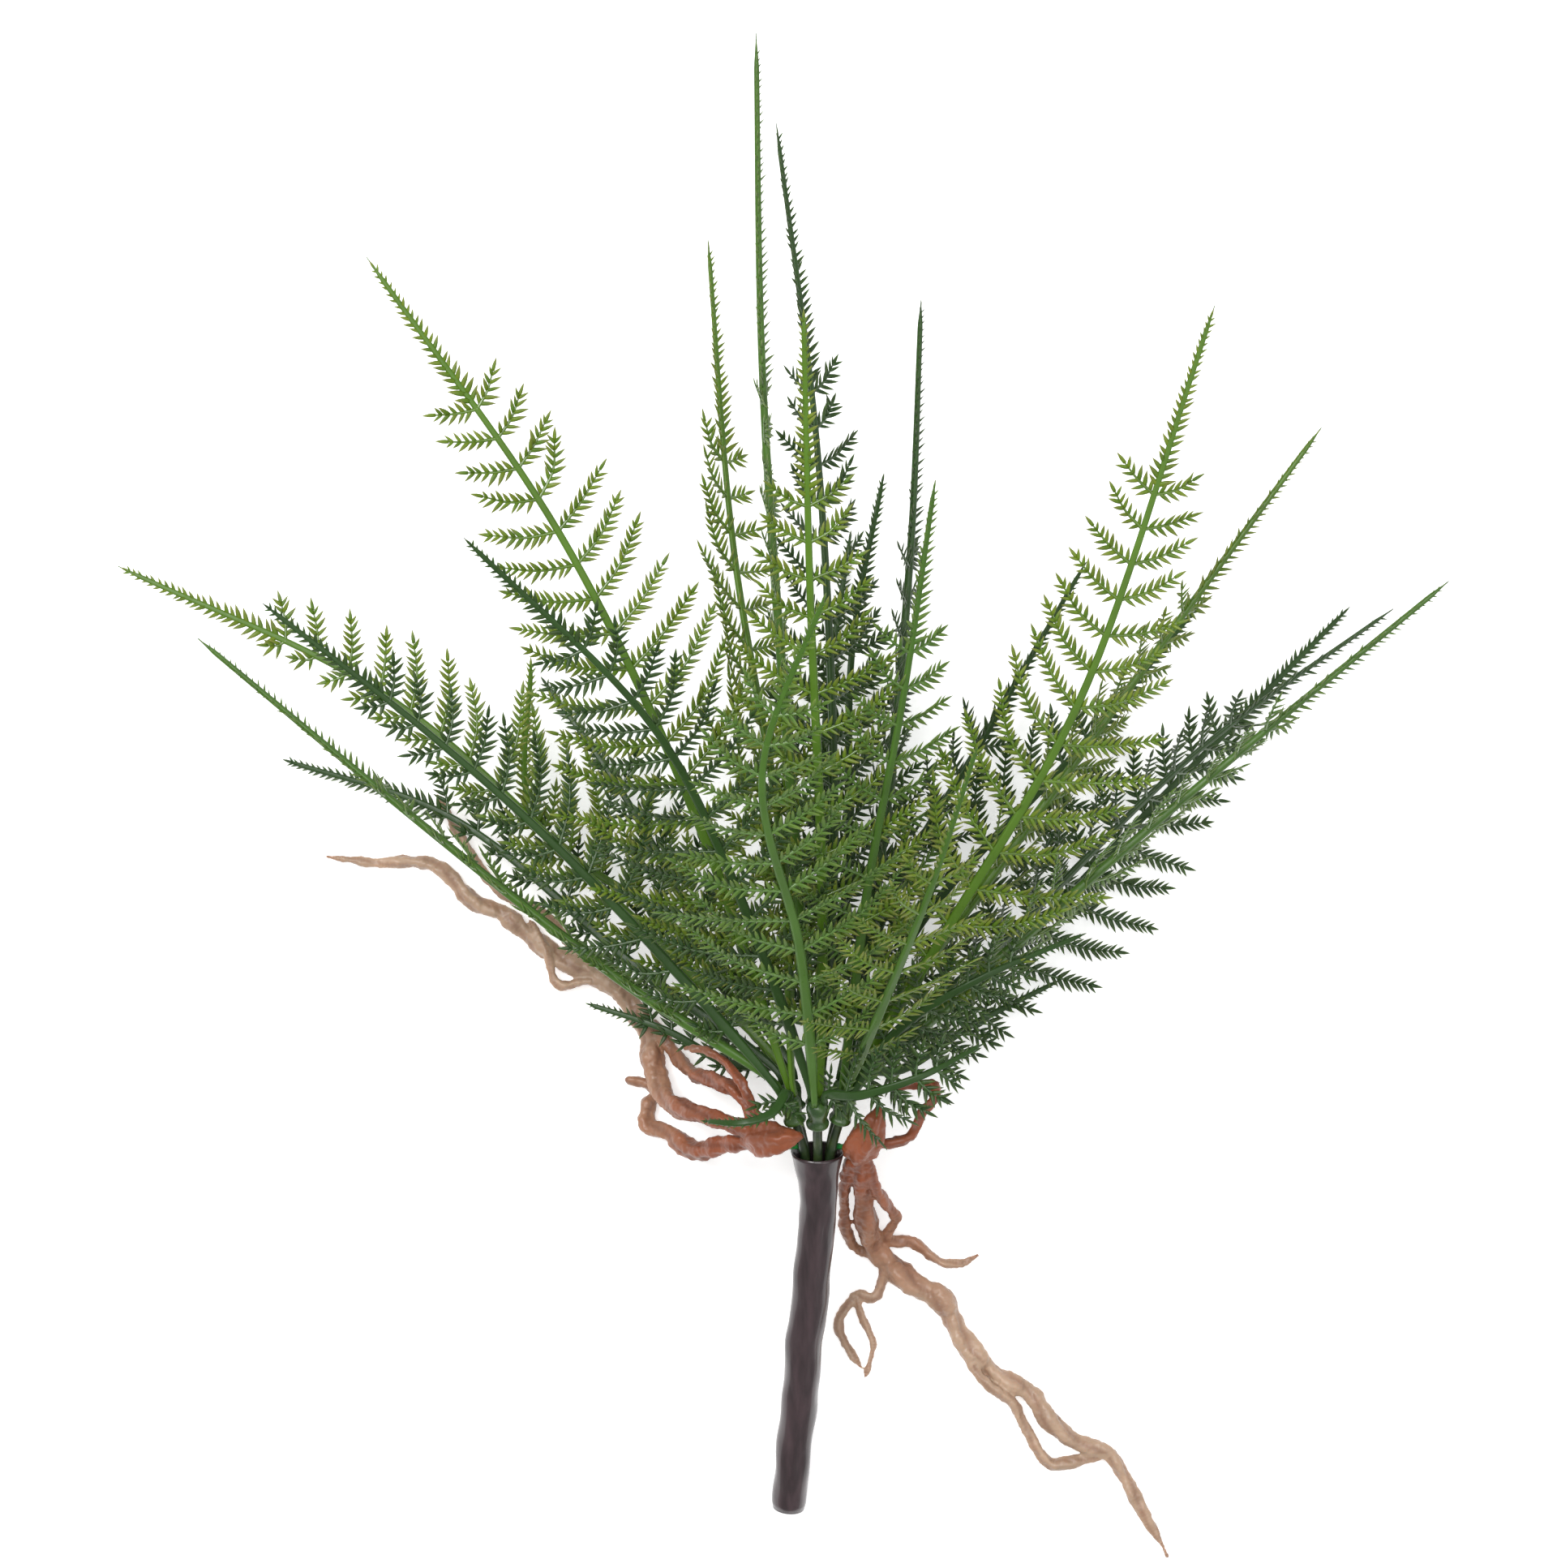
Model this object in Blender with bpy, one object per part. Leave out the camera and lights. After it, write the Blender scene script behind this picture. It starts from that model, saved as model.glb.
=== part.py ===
"""Artificial fern pick lying on its side: a moulded stem, six frond sprays and two
clusters of aerial roots.  Metres, +Z up; the stem points along +Y and the pick rests
on z = 0.  Lists of points are in millimetres and are scaled by MM where they are used.
"""
import math

import bmesh
import bpy
from mathutils import Quaternion, Vector
from mathutils.bvhtree import BVHTree

MM = 0.001
GAP = 0.3 * MM                      # clearance kept between neighbouring pieces

CENTRE = (2.0, 9.45, 0.0)          # brings the middle of the bounding box over the origin

# Stem: a moulded rod with a flared mouth and a blind socket that holds the stalks.
STEM_POINTS = [(2, -228, 5.2), (5, -195.5, 15), (8, -165, 24), (11, -133, 33), (11, -111.5, 40)]
STEM_RADII = [5.4, 5.7, 5.9, 5.8, 8.4]
STEM_SIDES = 16
SOCKET_DEPTH = 20 * MM
SOCKET_RADIUS = 6.9 * MM

# Stalks stand in a ring in the socket; a foot is pushed on each stalk.
STALK_RADIUS = 1.45 * MM
STALK_RING = 4.9 * MM
FOOT_RING = 8.4 * MM
FOOT_RISE = 12 * MM                 # stem mouth to the underside of a foot
FOOT_LENGTH = 9 * MM
FOOT_RADIUS = 3.6 * MM
FOOT_HOLE = 5 * MM
RACHIS_LEAD = 3.5 * MM              # a rachis leaves its foot straight for this length
RACHIS_RING = 2.45 * MM             # rachises start in a ring on the top of the foot

SPRAYS = {"front": 90, "left": 144, "back_left": 216, "back": 270, "back_right": 324, "right": 36}

# Fronds: name, spray, two points on the way, tip, roll of the blade about its rachis in
# degrees (0 faces up), longest pinna, part of the rachis that is bare, colour.
FRONDS = [
    ("frond_front_centre", "front", (5, -46, 104), (-6, 7, 156), (12, 57, 190), 0, 53, 0.19, "green"),
    ("frond_front_left", "front", (-15, -26, 96), (-39, 21, 130), (-92, 74, 160), -8, 48, 0.24, "dark"),
    ("frond_light_centre", "front", (12, -30, 82), (8, 63, 112), (6, 143, 134), 0, 45, 0.16, "light"),
    ("frond_low_right_front", "front", (24, -92, 72), (42, -86, 77), (61, -77, 66), 10, 21, 0.22, "dark"),
    ("frond_light_left", "left", (-26, -8, 72), (-67, 78, 92), (-124, 160, 112), 5, 50, 0.22, "light"),
    ("frond_far_left_dark", "left", (-61, -24, 74), (-104, 16, 92), (-155, 57, 112), 0, 42, 0.24, "dark"),
    ("frond_edge_left", "left", (-51, -57, 52), (-107, -13, 56), (-180, 48, 64), 78, 31, 0.17, "green"),
    ("frond_mid_left_light", "left", (0, -18, 60), (-15, 75, 58), (-23, 171, 62), 50, 39, 0.23, "light"),
    ("frond_low_left_curl", "left", (-3, -98, 62), (-12, -101, 64), (-24, -101, 57), 20, 10, 0.22, "dark"),
    ("frond_far_left_light", "back_left", (-54, -32, 42), (-123, 30, 38), (-207, 71, 46), 0, 45, 0.24, "light"),
    ("frond_low_left_dark", "back_left", (-44, -56, 28), (-104, -8, 16), (-160, 11, 0.7), 0, 35, 0.26, "dark"),
    ("frond_back_left_light", "back_left", (-34, -42, 30), (-78, -8, 25), (-80, 43, 12), 10, 31, 0.29, "light"),
    ("frond_back_left_dark", "back_left", (-24, -46, 22), (-52, 2, 10), (-77, 37, 0.7), 0, 31, 0.32, "dark"),
    ("frond_low_left_back", "back_left", (-17, -85, 25), (-37, -75, 14), (-62, -67, 8), 0, 21, 0.22, "dark"),
    ("frond_tallest", "back", (4, -18, 74), (-6, 124, 98), (-8, 226, 116), 86, 28, 0.24, "green"),
    ("frond_tall_dark", "back", (16, -18, 46), (11, 105, 50), (-2, 207, 60), 45, 34, 0.26, "dark"),
    ("frond_back_centre", "back", (20, -31, 33), (22, 46, 30), (32, 101, 26), 20, 35, 0.24, "dark"),
    ("frond_back_centre_low", "back", (14, -36, 20), (14, 25, 8), (22, 84, 0.7), 0, 34, 0.26, "dark"),
    ("frond_right_edge", "back_right", (59, -33, 54), (114, 42, 54), (166, 113, 62), 65, 34, 0.22, "light"),
    ("frond_right_far_dark", "back_right", (64, -51, 36), (131, 14, 34), (191, 58, 40), 55, 34, 0.29, "dark"),
    ("frond_right_far_low", "back_right", (60, -62, 20), (125, 3, 10), (182, 60, 0.7), 10, 35, 0.30, "dark"),
    ("frond_right_back_dark", "back_right", (44, -40, 28), (92, 12, 17), (133, 60, 5), 10, 34, 0.32, "dark"),
    ("frond_right_up_dark", "back_right", (34, -33, 26), (64, 18, 18), (97, 74, 8), 40, 28, 0.29, "dark"),
    ("frond_low_right_dark", "back_right", (37, -87, 26), (61, -73, 14), (88, -60, 4), 10, 20, 0.22, "dark"),
    ("frond_thin_right", "right", (30, -20, 64), (39, 72, 70), (42, 150, 84), 80, 28, 0.26, "dark"),
    ("frond_right_centre", "right", (26, -27, 84), (36, 29, 104), (45, 93, 122), 35, 39, 0.24, "green"),
    ("frond_right_light", "right", (51, -40, 74), (89, 27, 92), (128, 145, 118), 15, 45, 0.24, "light"),
    ("frond_right_far_green", "right", (61, -56, 58), (126, 1, 66), (203, 65, 78), 70, 35, 0.24, "green"),
    ("frond_right_front", "right", (31, -62, 90), (44, -27, 120), (57, 15, 138), 35, 35, 0.24, "green"),
    ("frond_low_right_curl", "right", (36, -72, 64), (61, -56, 73), (93, -43, 62), 20, 22, 0.24, "dark"),
]
PINNA_SWEEP = 26                    # lean of a pinna towards the tip of its frond
PINNA_STEP = (15.0, 9.5)            # spacing of the pairs at the foot and at the tip
LAST_PINNA = 0.93                   # part of the rachis where the pinnae end
SMALL_FROND = 25                    # fronds with shorter pinnae than this bear them closer
PINNA_WIDTH = 6.2                   # widest part of a pinna with its leaflets
PINNA_THICK = 0.9
PINNA_LIFTS = (0.0, 0.14, -0.14, 0.28, -0.28, 0.45, -0.45, 0.62, -0.62)
PINNA_CUTS = (1.0, 0.72, 0.45)

# Roots: points with a radius each, from the bulb outwards.
LEFT_BULB = [(6.5, -106, 52), (2.5, -106.5, 51.5), (-1.5, -107, 49), (-5.5, -107.5, 44.5), (-9, -108.5, 38.5)]
LEFT_BULB_RADII = [0.5, 2.4, 3.8, 4.3, 2.8]
LEFT_ROOTS = [
    ([(-5.5, -108, 44), (-16, -109.5, 33), (-28, -113, 18), (-36, -108, 9), (-43, -106, 4), (-43, -100, 2.4),
      (-40, -96, 2.4)], 3.0, 2.1),
    ([(-6, -106, 44), (-21.5, -101.5, 36), (-31.5, -99.5, 24), (-37.5, -95.5, 12), (-41.5, -85.5, 4),
      (-42.5, -77.5, 2.4), (-46.5, -70, 3), (-53, -63, 3.2), (-62, -57, 2.5), (-70, -53.5, 2.1),
      (-83, -43.5, 2.1), (-90, -38, 2.1), (-98, -35, 2.1), (-108.5, -24.5, 2.1), (-114.5, -22, 2.1),
      (-130, -22, 1.8), (-146.5, -20, 1.4)], 3.1, 1.2),
    ([(-40, -96, 2.4), (-44, -92.5, 2.2), (-50.5, -91.5, 2.0)], 1.9, 1.4),
    ([(-6, -105, 43), (-14.5, -93, 40), (-21.5, -90, 30), (-28.5, -88.5, 16), (-34, -83, 7), (-41.5, -72.5, 3.0)],
     2.4, 1.8),
    ([(-5.5, -104.5, 45), (-11, -93, 49), (-16.5, -85, 46), (-23.5, -80, 42), (-31, -79.5, 38)], 1.7, 1.1),
    ([(-53, -63, 3.2), (-61.5, -59.5, 4.6), (-71.5, -61, 5.2), (-76, -48.5, 5.8), (-81, -40, 3.8)], 1.7, 1.0),
    ([(-62, -57, 2.4), (-74, -40, 5.6), (-83.5, -35, 5.8), (-92, -29.5, 5.4), (-102, -15, 4.4), (-110.5, 0, 2.2)],
     1.7, 1.0),
]
RIGHT_BULB = [(30.5, -96, 53), (29, -100.5, 53), (27, -105.5, 50.5), (24.5, -109.5, 46), (23.5, -112.5, 41)]
RIGHT_BULB_RADII = [0.5, 2.4, 3.8, 4.4, 3.0]
RIGHT_ROOTS = [
    ([(23.5, -111.5, 42), (25, -122, 28), (26.5, -134, 16), (29.5, -145, 5), (35.5, -151, 2.3), (41, -156.5, 2.3),
      (51, -161.5, 2.3), (57, -173.5, 2.3), (68.5, -186, 2.3), (79.5, -192, 2.3), (86, -201, 2.3),
      (94, -207.5, 2.3), (104.5, -211, 2.3), (110, -219.5, 2.1), (114, -227.5, 2.1), (119.5, -236.5, 1.8),
      (123.5, -244.5, 1.4)], 3.4, 1.2),
    ([(57, -173.5, 2.3), (59.5, -180, 4.6), (64.5, -187.5, 6.4), (73, -194, 5.6), (78, -203, 3.4),
      (86, -214.5, 2.2), (94, -213.5, 2.4), (104.5, -211, 2.6)], 1.8, 1.5),
    ([(24.5, -108.5, 44), (30, -108.5, 46), (34.5, -108.5, 46), (40.5, -106, 45), (43.5, -99.5, 44),
      (47.5, -94.5, 43), (47, -90.5, 43), (42.5, -90.5, 42), (34.5, -92, 42)], 1.9, 1.2),
    ([(22, -111, 42), (20.5, -117, 34), (19.5, -129, 20), (21, -141, 8), (24.5, -146, 4.5), (29.5, -147, 3.6)],
     2.0, 1.4),
    ([(25, -110, 43), (28, -119.5, 34), (31.5, -128, 24), (36, -134.5, 14), (33.5, -142.5, 5), (41.5, -143.5, 2.4),
      (51, -150, 2.0), (57, -150.5, 1.8), (63, -147.5, 1.4)], 1.9, 1.0),
    ([(29.5, -145, 5), (32.5, -151, 3.8), (29.5, -161, 2.4), (24, -160.5, 2.0), (19.5, -166, 2.0),
      (18, -170, 1.9), (21, -177, 1.8), (25.5, -184, 1.4)], 1.8, 1.0),
    ([(23.5, -161, 2.2), (26.5, -169.5, 2.0), (29, -177, 1.9), (26.5, -187, 1.4)], 1.4, 0.9),
]
ROOT_SIDES = 5

# Pegs stand in the socket beside the stalks and reach up to the bulbs of the roots.
PEGS = {"root_peg_left": (180, (1.8, -109.6, 45.3)), "root_peg_right": (0, (19.6, -109.9, 44.2))}
PEG_RADIUS = 0.95 * MM
PEG_DEPTH = 12 * MM

COLOURS = {
    "dark": ((0.045, 0.150, 0.060), 0.42),
    "green": ((0.070, 0.230, 0.065), 0.42),
    "light": ((0.200, 0.400, 0.060), 0.45),
    "stalk": ((0.060, 0.300, 0.085), 0.40),
    "peg": ((0.080, 0.420, 0.130), 0.35),
    "stem": ((0.075, 0.050, 0.052), 0.30),
    "root": ((0.400, 0.140, 0.060), 0.50),
}


def clear_scene():
    for item in list(bpy.data.objects):
        bpy.data.objects.remove(item, do_unlink=True)


def make_material(name):
    colour, roughness = COLOURS[name]
    material = bpy.data.materials.new(name)
    material.use_nodes = True
    shader = material.node_tree.nodes["Principled BSDF"]
    shader.inputs["Base Color"].default_value = (*colour, 1.0)
    shader.inputs["Roughness"].default_value = roughness
    shader.inputs["Metallic"].default_value = 0.0
    return material


def add_frame(collection):
    """Empty that carries every piece."""
    frame = bpy.data.objects.new("pick_frame", None)
    frame.location = Vector(CENTRE) * MM
    collection.objects.link(frame)
    return frame


def add_object(name, verts, faces, material, collection):
    mesh = bpy.data.meshes.new(name)
    mesh.from_pydata([tuple(v) for v in verts], [], faces)
    work = bmesh.new()
    work.from_mesh(mesh)
    bmesh.ops.recalc_face_normals(work, faces=work.faces)
    if work.calc_volume(signed=True) < 0:
        bmesh.ops.reverse_faces(work, faces=work.faces)
    work.to_mesh(mesh)
    work.free()
    mesh.materials.append(material)
    item = bpy.data.objects.new(name, mesh)
    item.parent = bpy.data.objects["pick_frame"]
    collection.objects.link(item)
    return item


def spline(points, steps):
    """Points along a centripetal Catmull-Rom curve through the given points."""
    pts = [Vector(p) for p in points]
    ends = [2 * pts[0] - pts[1]] + pts + [2 * pts[-1] - pts[-2]]
    out = []
    for i in range(1, len(ends) - 2):
        a, b, c, d = ends[i - 1:i + 3]
        before, along, after = [math.sqrt((q - p).length) for p, q in ((a, b), (b, c), (c, d))]
        leave = along * ((b - a) / before - (c - a) / (before + along) + (c - b) / along)
        arrive = along * ((c - b) / along - (d - b) / (along + after) + (d - c) / after)
        for k in range(steps):
            t = k / steps
            out.append((2 * t ** 3 - 3 * t ** 2 + 1) * b + (t ** 3 - 2 * t ** 2 + t) * leave
                       + (3 * t ** 2 - 2 * t ** 3) * c + (t ** 3 - t ** 2) * arrive)
    out.append(pts[-1])
    return out


def arc_lengths(path):
    total = [0.0]
    for a, b in zip(path, path[1:]):
        total.append(total[-1] + (b - a).length)
    return total


def at_length(path, lengths, s):
    for i in range(len(path) - 1):
        if s <= lengths[i + 1]:
            span = lengths[i + 1] - lengths[i]
            return path[i].lerp(path[i + 1], (s - lengths[i]) / span if span else 0.0)
    return path[-1].copy()


def tangents_of(path):
    last = len(path) - 1
    return [(path[min(i + 1, last)] - path[max(i - 1, 0)]).normalized() for i in range(last + 1)]


def tube(path, radii, sides, tangents=None):
    """Closed round tube along a path, turned so that its sides do not twist."""
    verts = []
    side = None
    for i, (point, tangent) in enumerate(zip(path, tangents or tangents_of(path))):
        if side is None:
            side = tangent.cross(Vector((0, 0, 1))).normalized()
        side = (side - tangent * side.dot(tangent)).normalized()
        up = side.cross(tangent)
        for k in range(sides):
            turn = 2 * math.pi * k / sides
            verts.append(point + radii[i] * (math.cos(turn) * side + math.sin(turn) * up))
    faces = []
    for i in range(len(path) - 1):
        for k in range(sides):
            a, b = i * sides + k, i * sides + (k + 1) % sides
            faces.append((a, b, b + sides, a + sides))
    faces.append(tuple(reversed(range(sides))))
    faces.append(tuple(range((len(path) - 1) * sides, len(path) * sides)))
    return verts, faces


def stem_axis():
    return spline([Vector(p) * MM for p in STEM_POINTS], 3)


def build_stem(material, collection):
    path = stem_axis()
    count = len(path) - 1
    radii = []
    for i in range(len(path)):
        knot = min(int(i / 3), len(STEM_RADII) - 2)
        part = i / 3 - knot
        if knot == len(STEM_RADII) - 2:
            part = part ** 2            # the mouth flares most near the rim
        radii.append((STEM_RADII[knot] * (1 - part) + STEM_RADII[knot + 1] * part) * MM)
    radii[count] = STEM_RADII[-1] * MM
    axis = (path[-1] - path[-2]).normalized()
    inner = [path[-1], path[-1] - axis * SOCKET_DEPTH * 0.3, path[-1] - axis * SOCKET_DEPTH]
    inner_radii = [SOCKET_RADIUS, SOCKET_RADIUS * 0.88, SOCKET_RADIUS * 0.68]
    directions = tangents_of(path)
    directions[-1] = axis
    verts, faces = tube(path + inner, radii + inner_radii, STEM_SIDES, directions + [axis] * 3)
    return add_object("stem", verts, faces, material, collection)


def head_frame():
    """Mouth centre of the stem with its axis and two directions across it."""
    path = stem_axis()
    axis = (path[-1] - path[-2]).normalized()
    across = axis.cross(Vector((0, 0, 1))).normalized()
    upward = across.cross(axis)
    return path[-1], axis, across, upward


def ring_point(radius, turn, rise):
    mouth, axis, across, upward = head_frame()
    angle = math.radians(turn)
    return mouth + axis * rise + radius * (math.cos(angle) * across + math.sin(angle) * upward)


def foot_axis(turn):
    """A foot leans outwards from the axis of the stem."""
    mouth, axis, across, upward = head_frame()
    angle = math.radians(turn)
    lean = math.cos(angle) * across + math.sin(angle) * upward
    return (axis + 0.32 * lean).normalized()


def build_stalk(spray, turn, material, collection):
    base = ring_point(STALK_RING * 0.62, turn, -SOCKET_DEPTH + GAP * 2)
    mouth = ring_point(STALK_RING, turn, 0.0)
    foot = ring_point(FOOT_RING, turn, FOOT_RISE)
    inside = foot + foot_axis(turn) * (FOOT_HOLE - GAP)
    path = spline([base, mouth, foot, inside], 2)
    thin = [STALK_RADIUS * (0.72 + 0.28 * min(1.0, i / 2)) for i in range(len(path))]
    verts, faces = tube(path, thin, 8)
    return add_object("stalk_" + spray, verts, faces, material, collection)


def build_foot(spray, turn, material, collection):
    """Swollen foot of a spray, lathed about its own axis, with a blind hole for the stalk."""
    base = ring_point(FOOT_RING, turn, FOOT_RISE)
    axis = foot_axis(turn)
    outline = [(STALK_RADIUS + GAP, FOOT_HOLE), (STALK_RADIUS + GAP, 0.0), (FOOT_RADIUS * 0.72, 0.0),
               (FOOT_RADIUS, FOOT_LENGTH * 0.35), (FOOT_RADIUS, FOOT_LENGTH * 0.8),
               (FOOT_RADIUS * 0.93, FOOT_LENGTH)]
    path = [base + axis * height for radius, height in outline]
    sides = 12
    across = axis.cross(Vector((0, 0, 1))).normalized()
    upward = across.cross(axis)
    verts = []
    for (radius, height), point in zip(outline, path):
        for k in range(sides):
            angle = 2 * math.pi * k / sides
            verts.append(point + radius * (math.cos(angle) * across + math.sin(angle) * upward))
    faces = []
    for i in range(len(outline) - 1):
        for k in range(sides):
            a, b = i * sides + k, i * sides + (k + 1) % sides
            faces.append((a, b, b + sides, a + sides))
    faces.append(tuple(reversed(range(sides))))
    last = (len(outline) - 1) * sides
    faces.append(tuple(range(last, last + sides)))
    return add_object("foot_" + spray, verts, faces, material, collection)


def rachis_starts():
    """Start point of every rachis, in a ring on its foot, ordered so that none cross."""
    starts = {}
    for spray, turn in SPRAYS.items():
        axis = foot_axis(turn)
        top = ring_point(FOOT_RING, turn, FOOT_RISE) + axis * (FOOT_LENGTH + GAP)
        across = axis.cross(Vector((0, 0, 1))).normalized()
        upward = across.cross(axis)
        group = []
        for row in FRONDS:
            if row[1] == spray:
                aim = (Vector(row[2]) * MM - top).normalized()
                group.append((math.atan2(aim.dot(upward), aim.dot(across)), row[0]))
        group.sort()
        step = 2 * math.pi / len(group)
        offsets = [angle - i * step for i, (angle, name) in enumerate(group)]
        phase = math.atan2(sum(math.sin(a) for a in offsets), sum(math.cos(a) for a in offsets))
        for i, (angle, name) in enumerate(group):
            seat = phase + i * step
            starts[name] = (top + RACHIS_RING * (math.cos(seat) * across + math.sin(seat) * upward), axis)
    return starts


def rachis_half_width(u):
    swell = min(1.0, u / 0.12)
    return (0.85 + 0.42 * swell - 0.95 * max(0.0, u - 0.12)) * MM


def frond_layout(row, start, axis):
    """Path of one rachis with its lengths, and the places of its pinna pairs."""
    name, spray, first, second, tip, roll, longest, bare, colour = row
    knots = [start, start + axis * RACHIS_LEAD, Vector(first) * MM, Vector(second) * MM, Vector(tip) * MM]
    path = spline(knots, 10)
    lengths = arc_lengths(path)
    total = lengths[-1]
    crowding = 1.0 if longest > SMALL_FROND else 0.62
    nodes = []
    s = bare * total
    while s < total * LAST_PINNA:
        u = s / total
        nodes.append(s)
        s += (PINNA_STEP[0] * (1 - u) + PINNA_STEP[1] * u) * MM * crowding
    return path, lengths, total, nodes


def frame_at(path, lengths, s, roll):
    step = 1.5 * MM
    point = at_length(path, lengths, s)
    tangent = (at_length(path, lengths, s + step) - at_length(path, lengths, max(0.0, s - step))).normalized()
    facing = Vector((0, 0, 1)) - tangent * tangent.z
    facing = Quaternion(tangent, math.radians(roll)) @ facing.normalized()
    side = tangent.cross(facing)
    return point, tangent, facing, side


def pinna_length(s, total, longest, bare):
    """The longest pinnae stand near the foot; they shorten evenly to the tip."""
    v = max(0.0, s / total - bare) / (LAST_PINNA - bare)
    return longest * MM * min(1.0, 0.78 + v * 2.5) * (1 - 0.88 * v ** 0.85)


def pinna_points(point, tangent, facing, side, sign, reach, lift):
    sweep = math.radians(PINNA_SWEEP)
    out = side * sign * math.cos(sweep) + tangent * math.sin(sweep)
    forward = side * sign * math.cos(sweep * 1.45) + tangent * math.sin(sweep * 1.45)
    middle = point + out * reach * 0.52 + facing * reach * lift * 0.4
    end = middle + forward * reach * 0.48 + facing * reach * lift * 0.6
    return middle, end, out


def pinna_rings(root, middle, end, out, facing, side, sign, reach, grow=0.0):
    """Middle ring and tip of a pinna; root is its four corners on the rachis."""
    width = min(PINNA_WIDTH * MM, reach * 0.24) / 2 + grow
    thick = PINNA_THICK * MM / 2 + grow
    across = facing.cross(out).normalized() * sign
    top = middle + facing * thick
    low = middle - facing * thick
    ring = [top - across * width, top + across * width, low + across * width, low - across * width]
    return ring, end + (end - middle).normalized() * grow


PINNA_FACES = [(0, 1, 5, 4), (1, 2, 6, 5), (2, 3, 7, 6), (3, 0, 4, 7), (4, 5, 8), (5, 6, 8), (6, 7, 8), (7, 4, 8)]


def frond_sections(row, path, lengths, total, nodes):
    """Rings of the rachis: four corners each, with a pair of rings at every pinna pair."""
    roll = row[5]
    half_root = 0.8 * MM
    places = [0.0, 0.10 * total]
    for s in nodes:
        places += [s - half_root, s + half_root]
    places.append(0.975 * total)
    rings = []
    for s in places:
        point, tangent, facing, side = frame_at(path, lengths, s, roll)
        wide = rachis_half_width(s / total)
        tall = wide * 0.8
        rings.append([point + side * wide + facing * tall, point - side * wide + facing * tall,
                      point - side * wide - facing * tall, point + side * wide - facing * tall])
    return rings


def rachis_mesh(rings, tip, skipped):
    verts = [corner for ring in rings for corner in ring]
    faces = [(0, 1, 2, 3)]
    for i in range(len(rings) - 1):
        a, b = i * 4, i * 4 + 4
        faces.append((a, b, b + 1, a + 1))
        faces.append((a + 2, b + 2, b + 3, a + 3))
        if i not in skipped:
            faces.append((a + 1, b + 1, b + 2, a + 2))
            faces.append((a + 3, b + 3, b, a))
    last = (len(rings) - 1) * 4
    verts.append(tip)
    peak = len(verts) - 1
    for k in range(4):
        faces.append((last + k, last + (k + 1) % 4, peak))
    return verts, faces


def build_frond(row, start, axis, obstacles, material, collection):
    path, lengths, total, nodes = frond_layout(row, start, axis)
    rings = frond_sections(row, path, lengths, total, nodes)
    pinna_gaps = {2 + 2 * k for k in range(len(nodes))}
    verts, faces = rachis_mesh(rings, path[-1], pinna_gaps)
    placed = []
    for k, s in enumerate(nodes):
        point, tangent, facing, side = frame_at(path, lengths, s, row[5])
        for sign in (1, -1):
            a, b = (2 + 2 * k) * 4, (3 + 2 * k) * 4
            root = [a, b, b + 3, a + 3] if sign == 1 else [a + 1, b + 1, b + 2, a + 2]
            corners = [verts[i] for i in root]
            choice = None
            for cut in PINNA_CUTS:
                for lift in PINNA_LIFTS:
                    reach = pinna_length(s, total, row[6], row[7]) * cut
                    middle, end, out = pinna_points(point, tangent, facing, side, sign, reach, lift)
                    if min(middle.z, end.z) < 1.0 * MM:
                        continue
                    ring, peak = pinna_rings(corners, middle, end, out, facing, side, sign, reach, 0.45 * MM)
                    probe = BVHTree.FromPolygons(corners + ring + [peak], PINNA_FACES)
                    if not any(probe.overlap(tree) for tree in obstacles):
                        choice = (middle, end, out, reach)
                        break
                if choice:
                    break
            if choice is None:
                faces.append(tuple(root))   # no room for this pinna, so the rachis is closed there
                continue
            middle, end, out, reach = choice
            ring, peak = pinna_rings(corners, middle, end, out, facing, side, sign, reach)
            first = len(verts)
            verts += ring + [peak]
            index = root + [first, first + 1, first + 2, first + 3, first + 4]
            faces += [tuple(index[i] for i in face) for face in PINNA_FACES]
            placed.append((corners + ring + [peak]))
    item = add_object(row[0], verts, faces, material, collection)
    for points in placed:
        obstacles.append(BVHTree.FromPolygons(points, PINNA_FACES))
    return item


def strand(name, points, thick, thin, collection):
    path = spline([Vector(p) * MM for p in points], 2)
    count = len(path) - 1
    radii = [(thick + (thin - thick) * i / count) * MM for i in range(count + 1)]
    for point, radius in zip(path, radii):
        point.z = max(point.z, radius)  # a strand lies on the surface, not in it
    verts, faces = tube(path, radii, ROOT_SIDES)
    return add_object(name, verts, faces, bpy.data.materials["root"], collection)


def unite(base, others):
    for other in others:
        joint = base.modifiers.new("join_" + other.name, "BOOLEAN")
        joint.operation = "UNION"
        joint.solver = "EXACT"
        joint.object = other
        other.hide_render = True
        other.display_type = "WIRE"


def build_roots(name, bulb_points, bulb_radii, roots, material, collection, cutters):
    path = [Vector(p) * MM for p in bulb_points]
    verts, faces = tube(path, [r * MM for r in bulb_radii], 8)
    bulb = add_object(name, verts, faces, material, collection)
    strands = [strand(name + "_strand_%d" % i, points, thick, thin, cutters)
               for i, (points, thick, thin) in enumerate(roots)]
    unite(bulb, strands)
    return bulb


def build_peg(name, turn, target, material, collection):
    base = ring_point(STALK_RING * 0.88, turn, -PEG_DEPTH)
    mouth = ring_point(STALK_RING * 1.04, turn, 1 * MM)
    path = spline([base, mouth, Vector(target) * MM], 3)
    verts, faces = tube(path, [PEG_RADIUS] * len(path), 8)
    return add_object(name, verts, faces, material, collection)


def tree_of(item):
    mesh = item.data
    return BVHTree.FromPolygons([v.co.copy() for v in mesh.vertices], [tuple(p.vertices) for p in mesh.polygons])


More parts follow.
